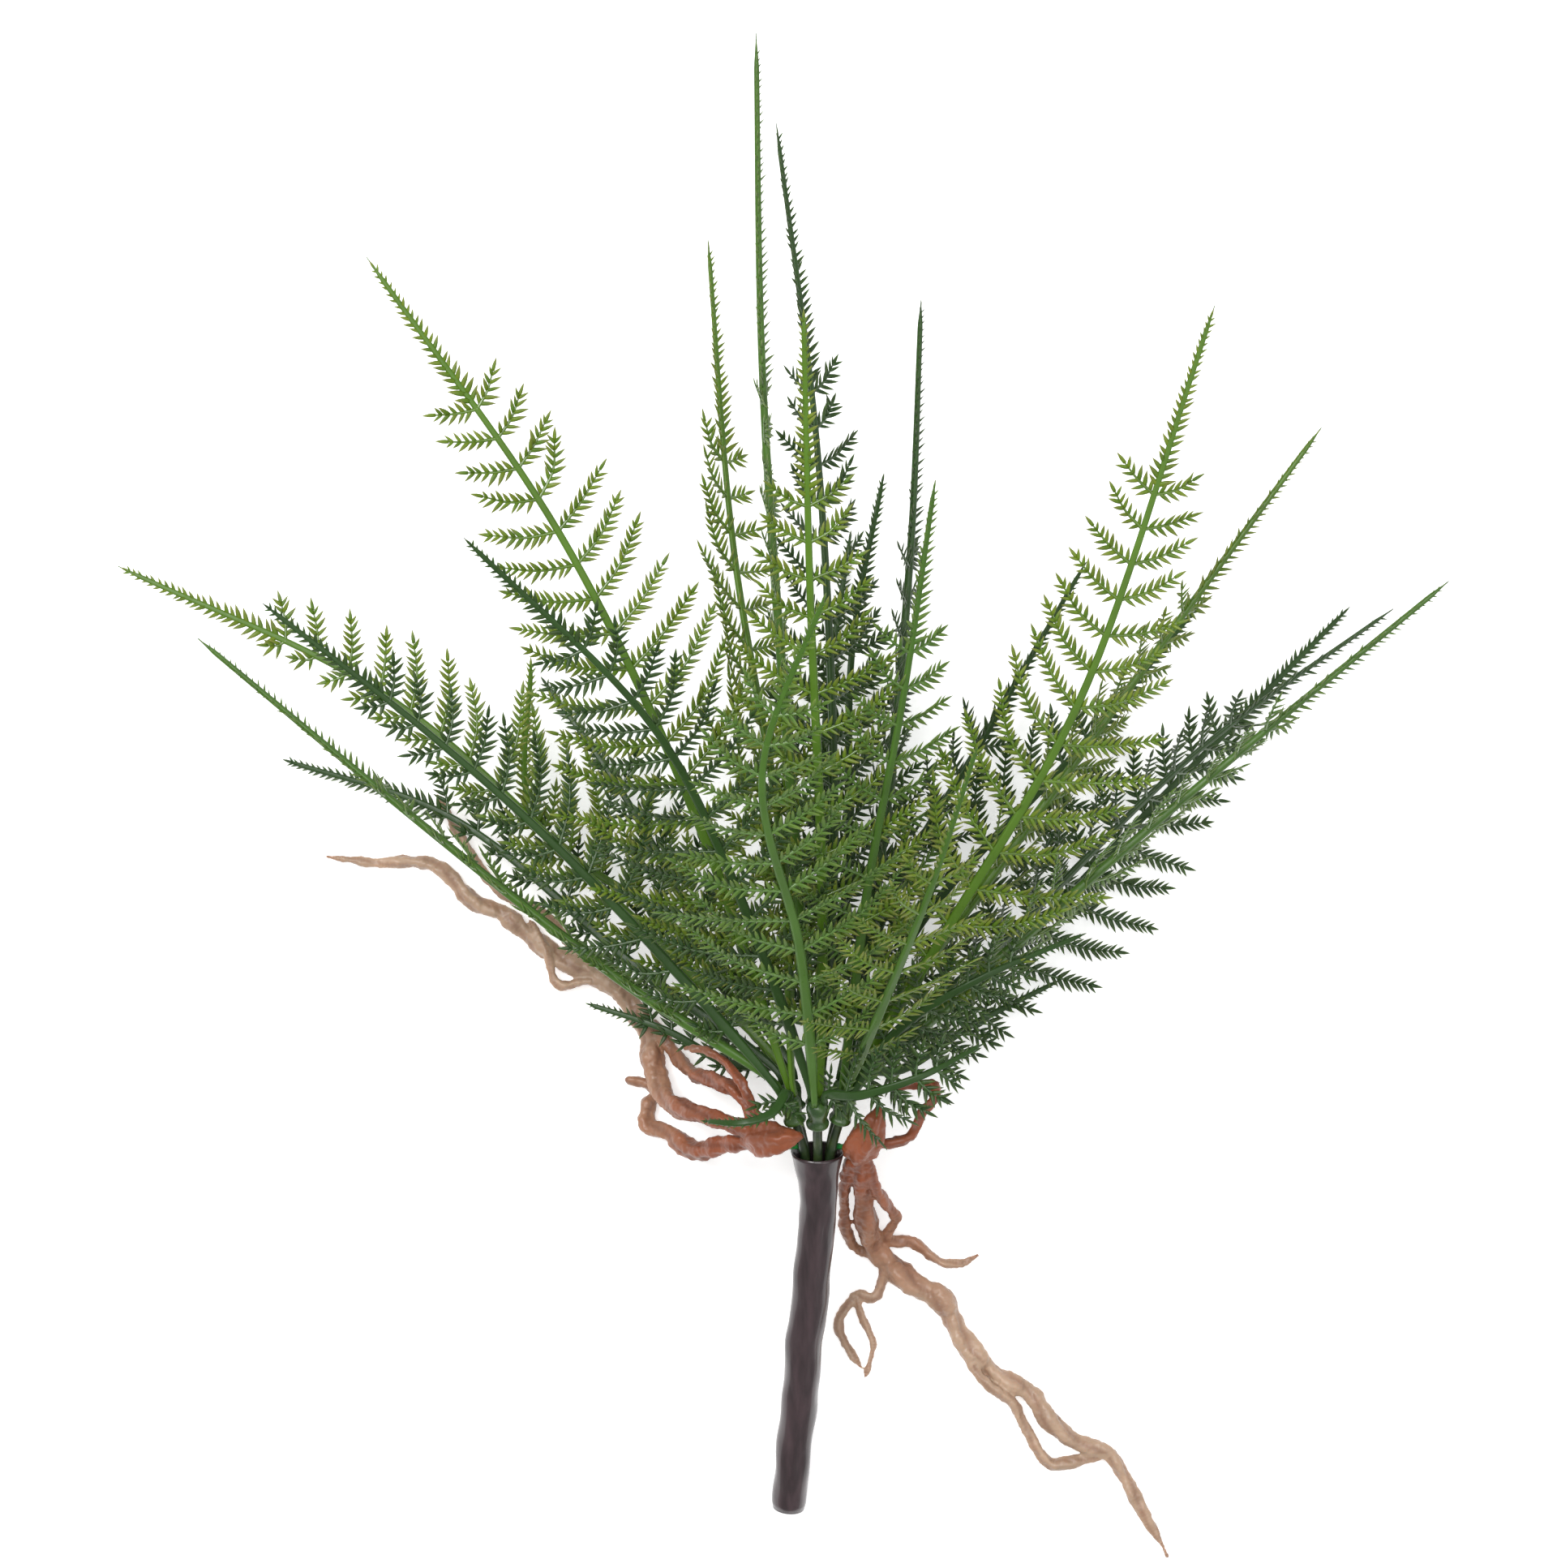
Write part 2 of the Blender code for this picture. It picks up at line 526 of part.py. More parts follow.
def build():
    clear_scene()
    scene = bpy.context.scene
    parts = bpy.data.collections.new("artificial_fern_pick")
    cutters = bpy.data.collections.new("cutters")
    scene.collection.children.link(parts)
    scene.collection.children.link(cutters)
    add_frame(parts)
    materials = {name: make_material(name) for name in COLOURS}
    build_stem(materials["stem"], parts)
    for spray, turn in SPRAYS.items():
        build_stalk(spray, turn, materials["stalk"], parts)
        build_foot(spray, turn, materials["green"], parts)
    for name, (turn, target) in PEGS.items():
        build_peg(name, turn, target, materials["peg"], parts)
    build_roots("roots_left", LEFT_BULB, LEFT_BULB_RADII, LEFT_ROOTS, materials["root"], parts, cutters)
    build_roots("roots_right", RIGHT_BULB, RIGHT_BULB_RADII, RIGHT_ROOTS, materials["root"], parts, cutters)
    obstacles = [tree_of(item) for item in list(parts.objects) + list(cutters.objects) if item.type == "MESH"]
    starts = rachis_starts()
    bare = {}
    for row in FRONDS:
        start, axis = starts[row[0]]
        path, lengths, total, nodes = frond_layout(row, start, axis)
        rings = frond_sections(row, path, lengths, total, nodes)
        verts, faces = rachis_mesh(rings, path[-1], set())
        bare[row[0]] = BVHTree.FromPolygons(verts, faces)
    pinnae = []
    for row in FRONDS:
        start, axis = starts[row[0]]
        trees = obstacles + [tree for name, tree in bare.items() if name != row[0]] + pinnae
        known = len(trees)
        build_frond(row, start, axis, trees, materials[row[8]], parts)
        pinnae += trees[known:]


build()
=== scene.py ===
import math
import random

import bmesh
import bpy
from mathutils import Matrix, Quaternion, Vector, noise
from mathutils.kdtree import KDTree


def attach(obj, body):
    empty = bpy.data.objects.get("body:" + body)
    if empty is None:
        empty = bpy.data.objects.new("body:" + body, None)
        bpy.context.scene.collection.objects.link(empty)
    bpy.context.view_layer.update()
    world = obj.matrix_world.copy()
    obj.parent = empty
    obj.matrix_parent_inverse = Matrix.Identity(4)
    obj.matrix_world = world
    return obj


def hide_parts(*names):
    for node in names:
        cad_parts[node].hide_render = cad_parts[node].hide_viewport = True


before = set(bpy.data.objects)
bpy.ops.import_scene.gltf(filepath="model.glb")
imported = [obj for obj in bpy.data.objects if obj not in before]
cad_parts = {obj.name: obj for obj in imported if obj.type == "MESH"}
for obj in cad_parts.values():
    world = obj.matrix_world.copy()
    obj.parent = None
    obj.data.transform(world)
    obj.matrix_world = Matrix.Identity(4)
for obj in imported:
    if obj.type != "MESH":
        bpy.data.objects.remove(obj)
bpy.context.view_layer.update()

mm = 0.001
centre = Vector((2.0, 9.45, 0.0))      # the middle of the box sits over the origin, as in the CAD


def place(point):
    return (Vector(point) + centre) * mm


# ---- view ----
view = {"height": 1560, "sharpPlane": 60, "across": 483.25, "aimX": -3.25, "aimY": 3.125}


def makeCamera():
    data = bpy.data.cameras.new("topCamera")
    data.sensor_fit = "VERTICAL"
    data.sensor_height = 36
    data.lens = 36 * (view["height"] - view["sharpPlane"]) / view["across"]
    data.clip_end = 20
    camera = bpy.data.objects.new("topCamera", data)
    camera.location = place((view["aimX"], view["aimY"], view["height"]))
    bpy.context.collection.objects.link(camera)
    bpy.context.scene.camera = camera
    bpy.context.scene.view_settings.view_transform = "Standard"


studio = {
    "floor": (0.93, 0.93, 0.93),
    "floorGlow": 0.4,
    "sky": 0.50,
    "key": {"place": (-0.7, 0.5, 1.5), "size": 0.6, "power": 17},
    "fill": {"place": (1.1, -0.5, 1.5), "size": 1.2, "power": 6},
    "top": {"place": (0.0, 0.2, 2.4), "size": 1.0, "power": 21},
}


def makeStudio():
    world = bpy.data.worlds.new("studioWorld")
    world.use_nodes = True
    backdrop = world.node_tree.nodes["Background"]
    backdrop.inputs["Color"].default_value = (1, 1, 1, 1)
    backdrop.inputs["Strength"].default_value = studio["sky"]
    bpy.context.scene.world = world
    for name in ("key", "fill", "top"):
        lamp = bpy.data.lights.new(name + "Light", "AREA")
        lamp.size = studio[name]["size"]
        lamp.energy = studio[name]["power"]
        holder = bpy.data.objects.new(name + "Light", lamp)
        holder.location = studio[name]["place"]
        holder.rotation_euler = (-Vector(studio[name]["place"])).to_track_quat("-Z", "Y").to_euler()
        bpy.context.collection.objects.link(holder)
    bpy.ops.mesh.primitive_plane_add(size=8, location=(0, 0, 0))
    floor = bpy.context.object
    floor.name = "floor"
    floorFinish = bpy.data.materials.new("paleFloor")
    floorFinish.use_nodes = True
    shader = floorFinish.node_tree.nodes["Principled BSDF"]
    shader.inputs["Base Color"].default_value = (*studio["floor"], 1)
    shader.inputs["Roughness"].default_value = 0.8
    shader.inputs["Emission Color"].default_value = (1, 1, 1, 1)
    shader.inputs["Emission Strength"].default_value = studio["floorGlow"]
    floor.data.materials.append(floorFinish)


# ---- shared effects for materials ----
def newGroup(name, inputs, outputs):
    group = bpy.data.node_groups.new(name, "ShaderNodeTree")
    for label, kind, value in inputs:
        socket = group.interface.new_socket(label, in_out="INPUT", socket_type=kind)
        socket.default_value = value
    for label, kind in outputs:
        group.interface.new_socket(label, in_out="OUTPUT", socket_type=kind)
    return group, group.nodes.new("NodeGroupInput"), group.nodes.new("NodeGroupOutput")


def mixColor(tree, factor, first, second):
    node = tree.nodes.new("ShaderNodeMix")
    node.data_type = "RGBA"
    for socket, value in ((node.inputs[0], factor), (node.inputs[6], first), (node.inputs[7], second)):
        if isinstance(value, bpy.types.NodeSocket):
            tree.links.new(value, socket)
        elif isinstance(value, (int, float)):
            socket.default_value = value
        else:
            socket.default_value = (*value, 1)
    return node.outputs[2]


def ramped(tree, value, low, high, outLow=0.0, outHigh=1.0):
    node = tree.nodes.new("ShaderNodeMapRange")
    tree.links.new(value, node.inputs["Value"])
    node.inputs["From Min"].default_value = low
    node.inputs["From Max"].default_value = high
    node.inputs["To Min"].default_value = outLow
    node.inputs["To Max"].default_value = outHigh
    return node.outputs["Result"]


def mouldGrainGroup():
    # mottled colour, uneven gloss and fine bumps of moulded soft plastic
    group, gin, gout = newGroup(
        "mouldGrain",
        [("Color", "NodeSocketColor", (0.5, 0.5, 0.5, 1)), ("Scale", "NodeSocketFloat", 120.0),
         ("Mottle", "NodeSocketFloat", 0.2), ("Gloss", "NodeSocketFloat", 0.4),
         ("Bump", "NodeSocketFloat", 0.2), ("Stretch", "NodeSocketVector", (1, 1, 1))],
        [("Color", "NodeSocketColor"), ("Roughness", "NodeSocketFloat"), ("Normal", "NodeSocketVector")])
    coords = group.nodes.new("ShaderNodeTexCoord")
    stretched = group.nodes.new("ShaderNodeVectorMath")
    stretched.operation = "MULTIPLY"
    group.links.new(coords.outputs["Object"], stretched.inputs[0])
    group.links.new(gin.outputs["Stretch"], stretched.inputs[1])
    broad = group.nodes.new("ShaderNodeTexNoise")
    broad.inputs["Detail"].default_value = 3
    fine = group.nodes.new("ShaderNodeTexNoise")
    fine.inputs["Detail"].default_value = 5
    finer = group.nodes.new("ShaderNodeMath")
    finer.operation = "MULTIPLY"
    finer.inputs[1].default_value = 7
    group.links.new(gin.outputs["Scale"], broad.inputs["Scale"])
    group.links.new(gin.outputs["Scale"], finer.inputs[0])
    group.links.new(finer.outputs[0], fine.inputs["Scale"])
    for texture in (broad, fine):
        group.links.new(stretched.outputs[0], texture.inputs["Vector"])
    hue = group.nodes.new("ShaderNodeHueSaturation")
    swing = group.nodes.new("ShaderNodeMath")
    swing.operation = "MULTIPLY_ADD"
    group.links.new(ramped(group, broad.outputs[0], 0.3, 0.7, -1.0, 1.0), swing.inputs[0])
    group.links.new(gin.outputs["Mottle"], swing.inputs[1])
    swing.inputs[2].default_value = 1.0
    group.links.new(swing.outputs[0], hue.inputs["Value"])
    group.links.new(gin.outputs["Color"], hue.inputs["Color"])
    group.links.new(hue.outputs[0], gout.inputs["Color"])
    rough = group.nodes.new("ShaderNodeMath")
    rough.operation = "ADD"
    group.links.new(ramped(group, fine.outputs[0], 0.25, 0.75, -0.09, 0.11), rough.inputs[0])
    group.links.new(gin.outputs["Gloss"], rough.inputs[1])
    group.links.new(rough.outputs[0], gout.inputs["Roughness"])
    bump = group.nodes.new("ShaderNodeBump")
    bump.inputs["Distance"].default_value = 0.0003
    group.links.new(gin.outputs["Bump"], bump.inputs["Strength"])
    group.links.new(fine.outputs[0], bump.inputs["Height"])
    group.links.new(bump.outputs[0], gout.inputs["Normal"])
    return group


mouldGrain = mouldGrainGroup()


def newMaterial(name, scale, mottle, gloss, bump):
    material = bpy.data.materials.new(name)
    material.use_nodes = True
    tree = material.node_tree
    shader = tree.nodes["Principled BSDF"]
    grain = tree.nodes.new("ShaderNodeGroup")
    grain.node_tree = mouldGrain
    for label, value in (("Scale", scale), ("Mottle", mottle), ("Gloss", gloss), ("Bump", bump)):
        grain.inputs[label].default_value = value
    tree.links.new(grain.outputs["Color"], shader.inputs["Base Color"])
    tree.links.new(grain.outputs["Roughness"], shader.inputs["Roughness"])
    tree.links.new(grain.outputs["Normal"], shader.inputs["Normal"])
    return material, tree, shader, grain


def attributeValue(tree, name):
    node = tree.nodes.new("ShaderNodeAttribute")
    node.attribute_name = name
    return node.outputs["Fac"]


# the rib colours are lighter than the rachis colours as a painted highlight on the midribs
leafTones = {
    "dark": {"blade": (0.017, 0.046, 0.010), "other": (0.030, 0.062, 0.011), "tip": (0.056, 0.084, 0.021),
             "rachis": (0.022, 0.058, 0.010), "rib": (0.034, 0.074, 0.017)},
    "green": {"blade": (0.050, 0.118, 0.014), "other": (0.084, 0.154, 0.019), "tip": (0.140, 0.190, 0.044),
              "rachis": (0.052, 0.122, 0.014), "rib": (0.078, 0.160, 0.026)},
    "light": {"blade": (0.072, 0.146, 0.009), "other": (0.132, 0.192, 0.014), "tip": (0.190, 0.186, 0.046),
              "rachis": (0.070, 0.150, 0.010), "rib": (0.084, 0.158, 0.014)},
}


def bladeMaterial(tone):
    # leaflets: greener in the middle, yellower at the points, each a little different
    colors = leafTones[tone]
    material, tree, shader, grain = newMaterial("leaflet_" + tone, 160, 0.16, 0.38, 0.25)
    varied = mixColor(tree, attributeValue(tree, "tone"), colors["blade"], colors["other"])
    tipped = mixColor(tree, ramped(tree, attributeValue(tree, "tip"), 0.35, 1.0), varied, colors["tip"])
    tree.links.new(tipped, grain.inputs["Color"])
    shader.inputs["Subsurface Weight"].default_value = 0.12
    shader.inputs["Subsurface Radius"].default_value = (0.6, 1.0, 0.2)
    shader.inputs["Subsurface Scale"].default_value = 0.0012
    shader.inputs["Specular IOR Level"].default_value = 0.30
    return material


def rachisMaterial(tone):
    material, tree, shader, grain = newMaterial("rachis_" + tone, 60, 0.14, 0.34, 0.18)
    grain.inputs["Color"].default_value = (*leafTones[tone]["rachis"], 1)
    shader.inputs["Specular IOR Level"].default_value = 0.30
    return material


def ribMaterial(tone):
    # raised midribs catch the light: they are glossy, and their colour is lighter than the rachis's as a painted
    # highlight
    material, tree, shader, grain = newMaterial("ribHighlight_" + tone, 140, 0.20, 0.26, 0.15)
    grain.inputs["Color"].default_value = (*leafTones[tone]["rib"], 1)
    shader.inputs["Specular IOR Level"].default_value = 0.5
    shader.inputs["Coat Weight"].default_value = 0.4
    shader.inputs["Coat Roughness"].default_value = 0.10
    return material


bladeFinish = {tone: bladeMaterial(tone) for tone in leafTones}
rachisFinish = {tone: rachisMaterial(tone) for tone in leafTones}
ribHighlightFinish = {tone: ribMaterial(tone) for tone in leafTones}


# ---- paths and frames ----
def spline(points, steps):
    # centripetal Catmull-Rom, the same curve as the CAD's
    pts = [Vector(p) for p in points]
    ends = [2 * pts[0] - pts[1]] + pts + [2 * pts[-1] - pts[-2]]
    out = []
    for i in range(1, len(ends) - 2):
        a, b, c, d = ends[i - 1:i + 3]
        before, along, after = [math.sqrt((q - p).length) for p, q in ((a, b), (b, c), (c, d))]
        leave = along * ((b - a) / before - (c - a) / (before + along) + (c - b) / along)
        arrive = along * ((c - b) / along - (d - b) / (along + after) + (d - c) / after)
        for k in range(steps):
            t = k / steps
            out.append((2 * t ** 3 - 3 * t ** 2 + 1) * b + (t ** 3 - 2 * t ** 2 + t) * leave
                       + (3 * t ** 2 - 2 * t ** 3) * c + (t ** 3 - t ** 2) * arrive)
    out.append(pts[-1])
    return out


class Path:
    # a polyline measured by its length
    def __init__(self, points):
        self.points = points
        self.lengths = [0.0]
        for a, b in zip(points, points[1:]):
            self.lengths.append(self.lengths[-1] + (b - a).length)
        self.total = self.lengths[-1]

    def at(self, s):
        for i in range(len(self.points) - 1):
            if s <= self.lengths[i + 1]:
                span = self.lengths[i + 1] - self.lengths[i]
                return self.points[i].lerp(self.points[i + 1], (s - self.lengths[i]) / span if span else 0)
        return self.points[-1].copy()

    def frame(self, s, roll=0.0):
        step = 1.5 * mm
        tangent = (self.at(s + step) - self.at(max(0.0, s - step))).normalized()
        facing = (Vector((0, 0, 1)) - tangent * tangent.z).normalized()
        facing = Quaternion(tangent, math.radians(roll)) @ facing
        return self.at(s), tangent, facing, tangent.cross(facing)


# ---- head of the stem: stalks, feet and where every rachis starts ----
head = {
    "stemPoints": [(2, -228, 5.2), (5, -195.5, 15), (8, -165, 24), (11, -133, 33), (11, -111.5, 40)],
    "sprays": {"front": 90, "left": 144, "back_left": 216, "back": 270, "back_right": 324, "right": 36},
    "socketDepth": 20, "stalkRadius": 1.45, "stalkRing": 4.9,
    "footRing": 8.4, "footRise": 12, "footLength": 9, "footRadius": 3.6, "footHole": 5,
    "rachisLead": 3.5, "rachisRing": 2.45, "gap": 0.3,
}

stemAxis = spline([place(p) for p in head["stemPoints"]], 3)
mouth = stemAxis[-1]
axis = (stemAxis[-1] - stemAxis[-2]).normalized()
across = axis.cross(Vector((0, 0, 1))).normalized()
upward = across.cross(axis)


def ringPoint(radius, turn, rise):
    angle = math.radians(turn)
    return mouth + axis * rise * mm + radius * mm * (math.cos(angle) * across + math.sin(angle) * upward)


def footAxis(turn):
    angle = math.radians(turn)
    return (axis + 0.32 * (math.cos(angle) * across + math.sin(angle) * upward)).normalized()


# ---- fronds ----
# spray, two points on the way, tip, roll about the rachis, longest pinna, bare part, tone
fronds = {
    "frond_front_centre": ("front", (5, -46, 104), (-6, 7, 156), (12, 57, 190), 0, 53, 0.19, "green"),
    "frond_front_left": ("front", (-15, -26, 96), (-39, 21, 130), (-92, 74, 160), -8, 48, 0.24, "dark"),
    "frond_light_centre": ("front", (12, -30, 82), (8, 63, 112), (6, 143, 134), 0, 45, 0.16, "light"),
    "frond_low_right_front": ("front", (24, -92, 72), (42, -86, 77), (61, -77, 66), 10, 21, 0.22, "dark"),
    "frond_light_left": ("left", (-26, -8, 72), (-67, 78, 92), (-124, 160, 112), 5, 50, 0.22, "light"),
    "frond_far_left_dark": ("left", (-61, -24, 74), (-104, 16, 92), (-155, 57, 112), 0, 42, 0.24, "dark"),
    "frond_edge_left": ("left", (-51, -57, 52), (-107, -13, 56), (-180, 48, 64), 78, 31, 0.17, "green"),
    "frond_mid_left_light": ("left", (0, -18, 60), (-15, 75, 58), (-23, 171, 62), 50, 39, 0.23, "light"),
    "frond_low_left_curl": ("left", (-3, -98, 62), (-12, -101, 64), (-24, -101, 57), 20, 10, 0.22, "dark"),
    "frond_far_left_light": ("back_left", (-54, -32, 42), (-123, 30, 38), (-207, 71, 46), 0, 45, 0.24, "light"),
    "frond_low_left_dark": ("back_left", (-44, -56, 28), (-104, -8, 16), (-160, 11, 0.7), 0, 35, 0.26, "dark"),
    "frond_back_left_light": ("back_left", (-34, -42, 30), (-78, -8, 25), (-80, 43, 12), 10, 31, 0.29, "light"),
    "frond_back_left_dark": ("back_left", (-24, -46, 22), (-52, 2, 10), (-77, 37, 0.7), 0, 31, 0.32, "dark"),
    "frond_low_left_back": ("back_left", (-17, -85, 25), (-37, -75, 14), (-62, -67, 8), 0, 21, 0.22, "dark"),
    "frond_tallest": ("back", (4, -18, 74), (-6, 124, 98), (-8, 226, 116), 86, 28, 0.24, "green"),
    "frond_tall_dark": ("back", (16, -18, 46), (11, 105, 50), (-2, 207, 60), 45, 34, 0.26, "dark"),
    "frond_back_centre": ("back", (20, -31, 33), (22, 46, 30), (32, 101, 26), 20, 35, 0.24, "dark"),
    "frond_back_centre_low": ("back", (14, -36, 20), (14, 25, 8), (22, 84, 0.7), 0, 34, 0.26, "dark"),
    "frond_right_edge": ("back_right", (59, -33, 54), (114, 42, 54), (166, 113, 62), 65, 34, 0.22, "light"),
    "frond_right_far_dark": ("back_right", (64, -51, 36), (131, 14, 34), (191, 58, 40), 55, 34, 0.29, "dark"),
    "frond_right_far_low": ("back_right", (60, -62, 20), (125, 3, 10), (182, 60, 0.7), 10, 35, 0.30, "dark"),
    "frond_right_back_dark": ("back_right", (44, -40, 28), (92, 12, 17), (133, 60, 5), 10, 34, 0.32, "dark"),
    "frond_right_up_dark": ("back_right", (34, -33, 26), (64, 18, 18), (97, 74, 8), 40, 28, 0.29, "dark"),
    "frond_low_right_dark": ("back_right", (37, -87, 26), (61, -73, 14), (88, -60, 4), 10, 20, 0.22, "dark"),
    "frond_thin_right": ("right", (30, -20, 64), (39, 72, 70), (42, 150, 84), 80, 28, 0.26, "dark"),
    "frond_right_centre": ("right", (26, -27, 84), (36, 29, 104), (45, 93, 122), 35, 39, 0.24, "green"),
    "frond_right_light": ("right", (51, -40, 74), (89, 27, 92), (128, 145, 118), 15, 45, 0.24, "light"),
    "frond_right_far_green": ("right", (61, -56, 58), (126, 1, 66), (203, 65, 78), 70, 35, 0.24, "green"),
    "frond_right_front": ("right", (31, -62, 90), (44, -27, 120), (57, 15, 138), 35, 35, 0.24, "green"),
    "frond_low_right_curl": ("right", (36, -72, 64), (61, -56, 73), (93, -43, 62), 20, 22, 0.24, "dark"),
}
leaf = {
    "sweep": 26, "step": (15.0, 9.5), "last": 0.93, "small": 25,    # pinna pairs, as in the CAD
    "leafletStep": 2.36, "leafletLength": 5.3, "leafletWidth": 1.46, "leafletLean": 37,
    "lowest": 0.42,           # the smallest pinnae go down to this share of the bare part
    "shortest": 11.5,         # pinnae shorter than this are single leaflets on the rachis
    "ribRadius": 0.62, "seed": 11,
    "edgeOn": 60,             # fronds rolled further than this show their edge, with the leaflets raised
    "lime": ["frond_right_front"],
    # lean and share of the length of the pinnae on the right and on the left
    "lopsided": {
        "frond_mid_left_light": ((2, 0.62), (52, 1.2)),
        "frond_far_left_light": ((26, 1.0), (38, 0.45)), "frond_far_left_dark": ((26, 1.0), (34, 0.62)),
        "frond_low_left_dark": ((30, 0.9), (45, 0.3)), "frond_edge_left": ((34, 0.9), (48, 0.4)),
        "frond_low_left_back": ((26, 0.9), (50, 0.3)), "frond_back_left_light": ((26, 1.0), (40, 0.5)),
        "frond_back_left_dark": ((26, 1.0), (44, 0.42)),
    },
}


def rachisStarts():
    starts = {}
    for spray, turn in head["sprays"].items():
        up = footAxis(turn)
        top = ringPoint(head["footRing"], turn, head["footRise"]) + up * (head["footLength"] + head["gap"]) * mm
        sideways = up.cross(Vector((0, 0, 1))).normalized()
        front = sideways.cross(up)
        group = []
        for name, row in fronds.items():
            if row[0] == spray:
                aim = (place(row[1]) - top).normalized()
                group.append((math.atan2(aim.dot(front), aim.dot(sideways)), name))
        group.sort()
        step = 2 * math.pi / len(group)
        offsets = [angle - i * step for i, (angle, name) in enumerate(group)]
        phase = math.atan2(sum(math.sin(a) for a in offsets), sum(math.cos(a) for a in offsets))
        for i, (angle, name) in enumerate(group):
            seat = phase + i * step
            out = math.cos(seat) * sideways + math.sin(seat) * front
            starts[name] = (top + head["rachisRing"] * mm * out, up)
    return starts


def halfWidth(u):
    swell = min(1.0, u / 0.12)
    return (0.95 + 0.82 * swell - 1.18 * max(0.0, u - 0.12)) * mm


def rachisMesh(path, roll):
    # flat rounded strip with a shallow groove along its face
    outline = [(1.0, 0.0), (0.86, 0.55), (0.45, 0.80), (0.0, 0.62), (-0.45, 0.80), (-0.86, 0.55),
               (-1.0, 0.0), (-0.80, -0.62), (0.0, -0.85), (0.80, -0.62)]
    deep = 1.25 if abs(roll) > leaf["edgeOn"] else 0.8
    rings = int(path.total / (2.2 * mm))
    verts = []
    faces = []
    for i in range(rings + 1):
        s = path.total * i / rings
        u = s / path.total
        point, tangent, facing, side = path.frame(min(s, path.total - 0.1 * mm), roll)
        wide = max(halfWidth(u), 0.12 * mm) * (1.0 if u < 0.97 else max(0.15, (1 - u) / 0.03))
        for x, y in outline:
            verts.append(point + side * wide * x + facing * wide * deep * y)
    count = len(outline)
    for i in range(rings):
        for k in range(count):
            a, b = i * count + k, i * count + (k + 1) % count
            faces.append((a, a + count, b + count, b))
    faces.append(tuple(range(count)))
    faces.append(tuple(reversed(range(rings * count, (rings + 1) * count))))
    return verts, faces


def pinnaLength(s, total, longest, bare):
    v = max(0.0, s / total - bare) / (leaf["last"] - bare)
    return longest * mm * min(1.0, 0.78 + v * 2.5) * (1 - 0.88 * v ** 0.85)


class Skeleton:
    # ribs as edges, and one point for each leaflet with its direction, face and size
    def __init__(self):
        self.points = []
        self.edges = []
        self.data = {"along": [], "up": [], "size": [], "tone": [], "radius": [], "isLeaflet": []}

    def add(self, point, along=(0, 0, 1), up=(0, 1, 0), size=1.0, tone=0.5, radius=0.0, isLeaflet=0.0):
        self.points.append(point)
        values = (along, up, size, tone, radius, isLeaflet)
        for key, value in zip(("along", "up", "size", "tone", "radius", "isLeaflet"), values):
            self.data[key].append(value)

    def rib(self, points, radii):
        first = len(self.points)
        for point, radius in zip(points, radii):
            self.add(point, radius=radius)
        self.edges += [(first + i, first + i + 1) for i in range(len(points) - 1)]

    def mesh(self, name):
        mesh = bpy.data.meshes.new(name)
        mesh.from_pydata(self.points, self.edges, [])
        for key, values in self.data.items():
            if key in ("along", "up"):
                layer = mesh.attributes.new(key, "FLOAT_VECTOR", "POINT")
                layer.data.foreach_set("vector", [c for v in values for c in v])
            else:
                layer = mesh.attributes.new(key, "FLOAT", "POINT")
                layer.data.foreach_set("value", values)
        return mesh


def addLeaflets(skeleton, path, roll, start, end, sizes, chance, lift=0.0):
    # pairs of leaflets from start to end of a rib; sizes is a function of the part done
    s = start
    while s < end:
        part = (s - start) / (end - start)
        point, tangent, facing, side = path.frame(s, roll)
        for sign in (1, -1):
            lean = math.radians(leaf["leafletLean"] + chance.uniform(-7, 7) + 14 * part)
            out = side * sign * math.cos(lean) + tangent * math.sin(lean)
            out += facing * (chance.uniform(0.0, 0.36) + lift * sign)
            size = sizes(part) * chance.uniform(0.86, 1.12)
            skeleton.add(point + facing * 0.1 * mm, out.normalized(), facing, size, chance.random(), 0.0, 1.0)
        s += leaf["leafletStep"] * mm * (0.75 + 0.25 * sizes(part)) * chance.uniform(0.9, 1.1)
    point, tangent, facing, side = path.frame(end, roll)
    skeleton.add(point, tangent, facing, sizes(1.0) * 1.3, chance.random(), 0.0, 1.0)


def pinnaCurve(point, tangent, facing, side, sign, reach, lean, chance):
    sweep = math.radians(lean + chance.uniform(-6, 6))
    later = sweep * chance.uniform(1.3, 1.8)
    lift = chance.uniform(-0.14, 0.10)
    out = side * sign * math.cos(sweep) + tangent * math.sin(sweep)
    forward = side * sign * math.cos(later) + tangent * math.sin(later)
    middle = point + out * reach * 0.52 + facing * reach * lift * 0.3
    end = middle + forward * reach * 0.48 + facing * reach * lift * 0.7
    return [max((p, Vector((p.x, p.y, 1.2 * mm))), key=lambda q: q.z) for p in spline([point, middle, end], 4)]


def growPinnae(skeleton, path, s, roll, reach, chance, uneven):
    # one pair of pinnae, each a rib with leaflets along both sides
    point, tangent, facing, side = path.frame(s, roll)
    for sign, (lean, share) in zip((1, -1), uneven):
        length = reach * share * chance.uniform(0.88, 1.08)
        curve = Path(pinnaCurve(point, tangent, facing, side, sign, length, lean, chance))
        steps = len(curve.points) - 1
        skeleton.rib(curve.points, [leaf["ribRadius"] * mm * (1 - 0.62 * i / steps) for i in range(steps + 1)])
        addLeaflets(skeleton, curve, pinnaRoll(curve, facing) + chance.uniform(-16, 16), 1.9 * mm, curve.total,
                    lambda part: 0.88 + 0.30 * part - 0.54 * part ** 2.2, chance)


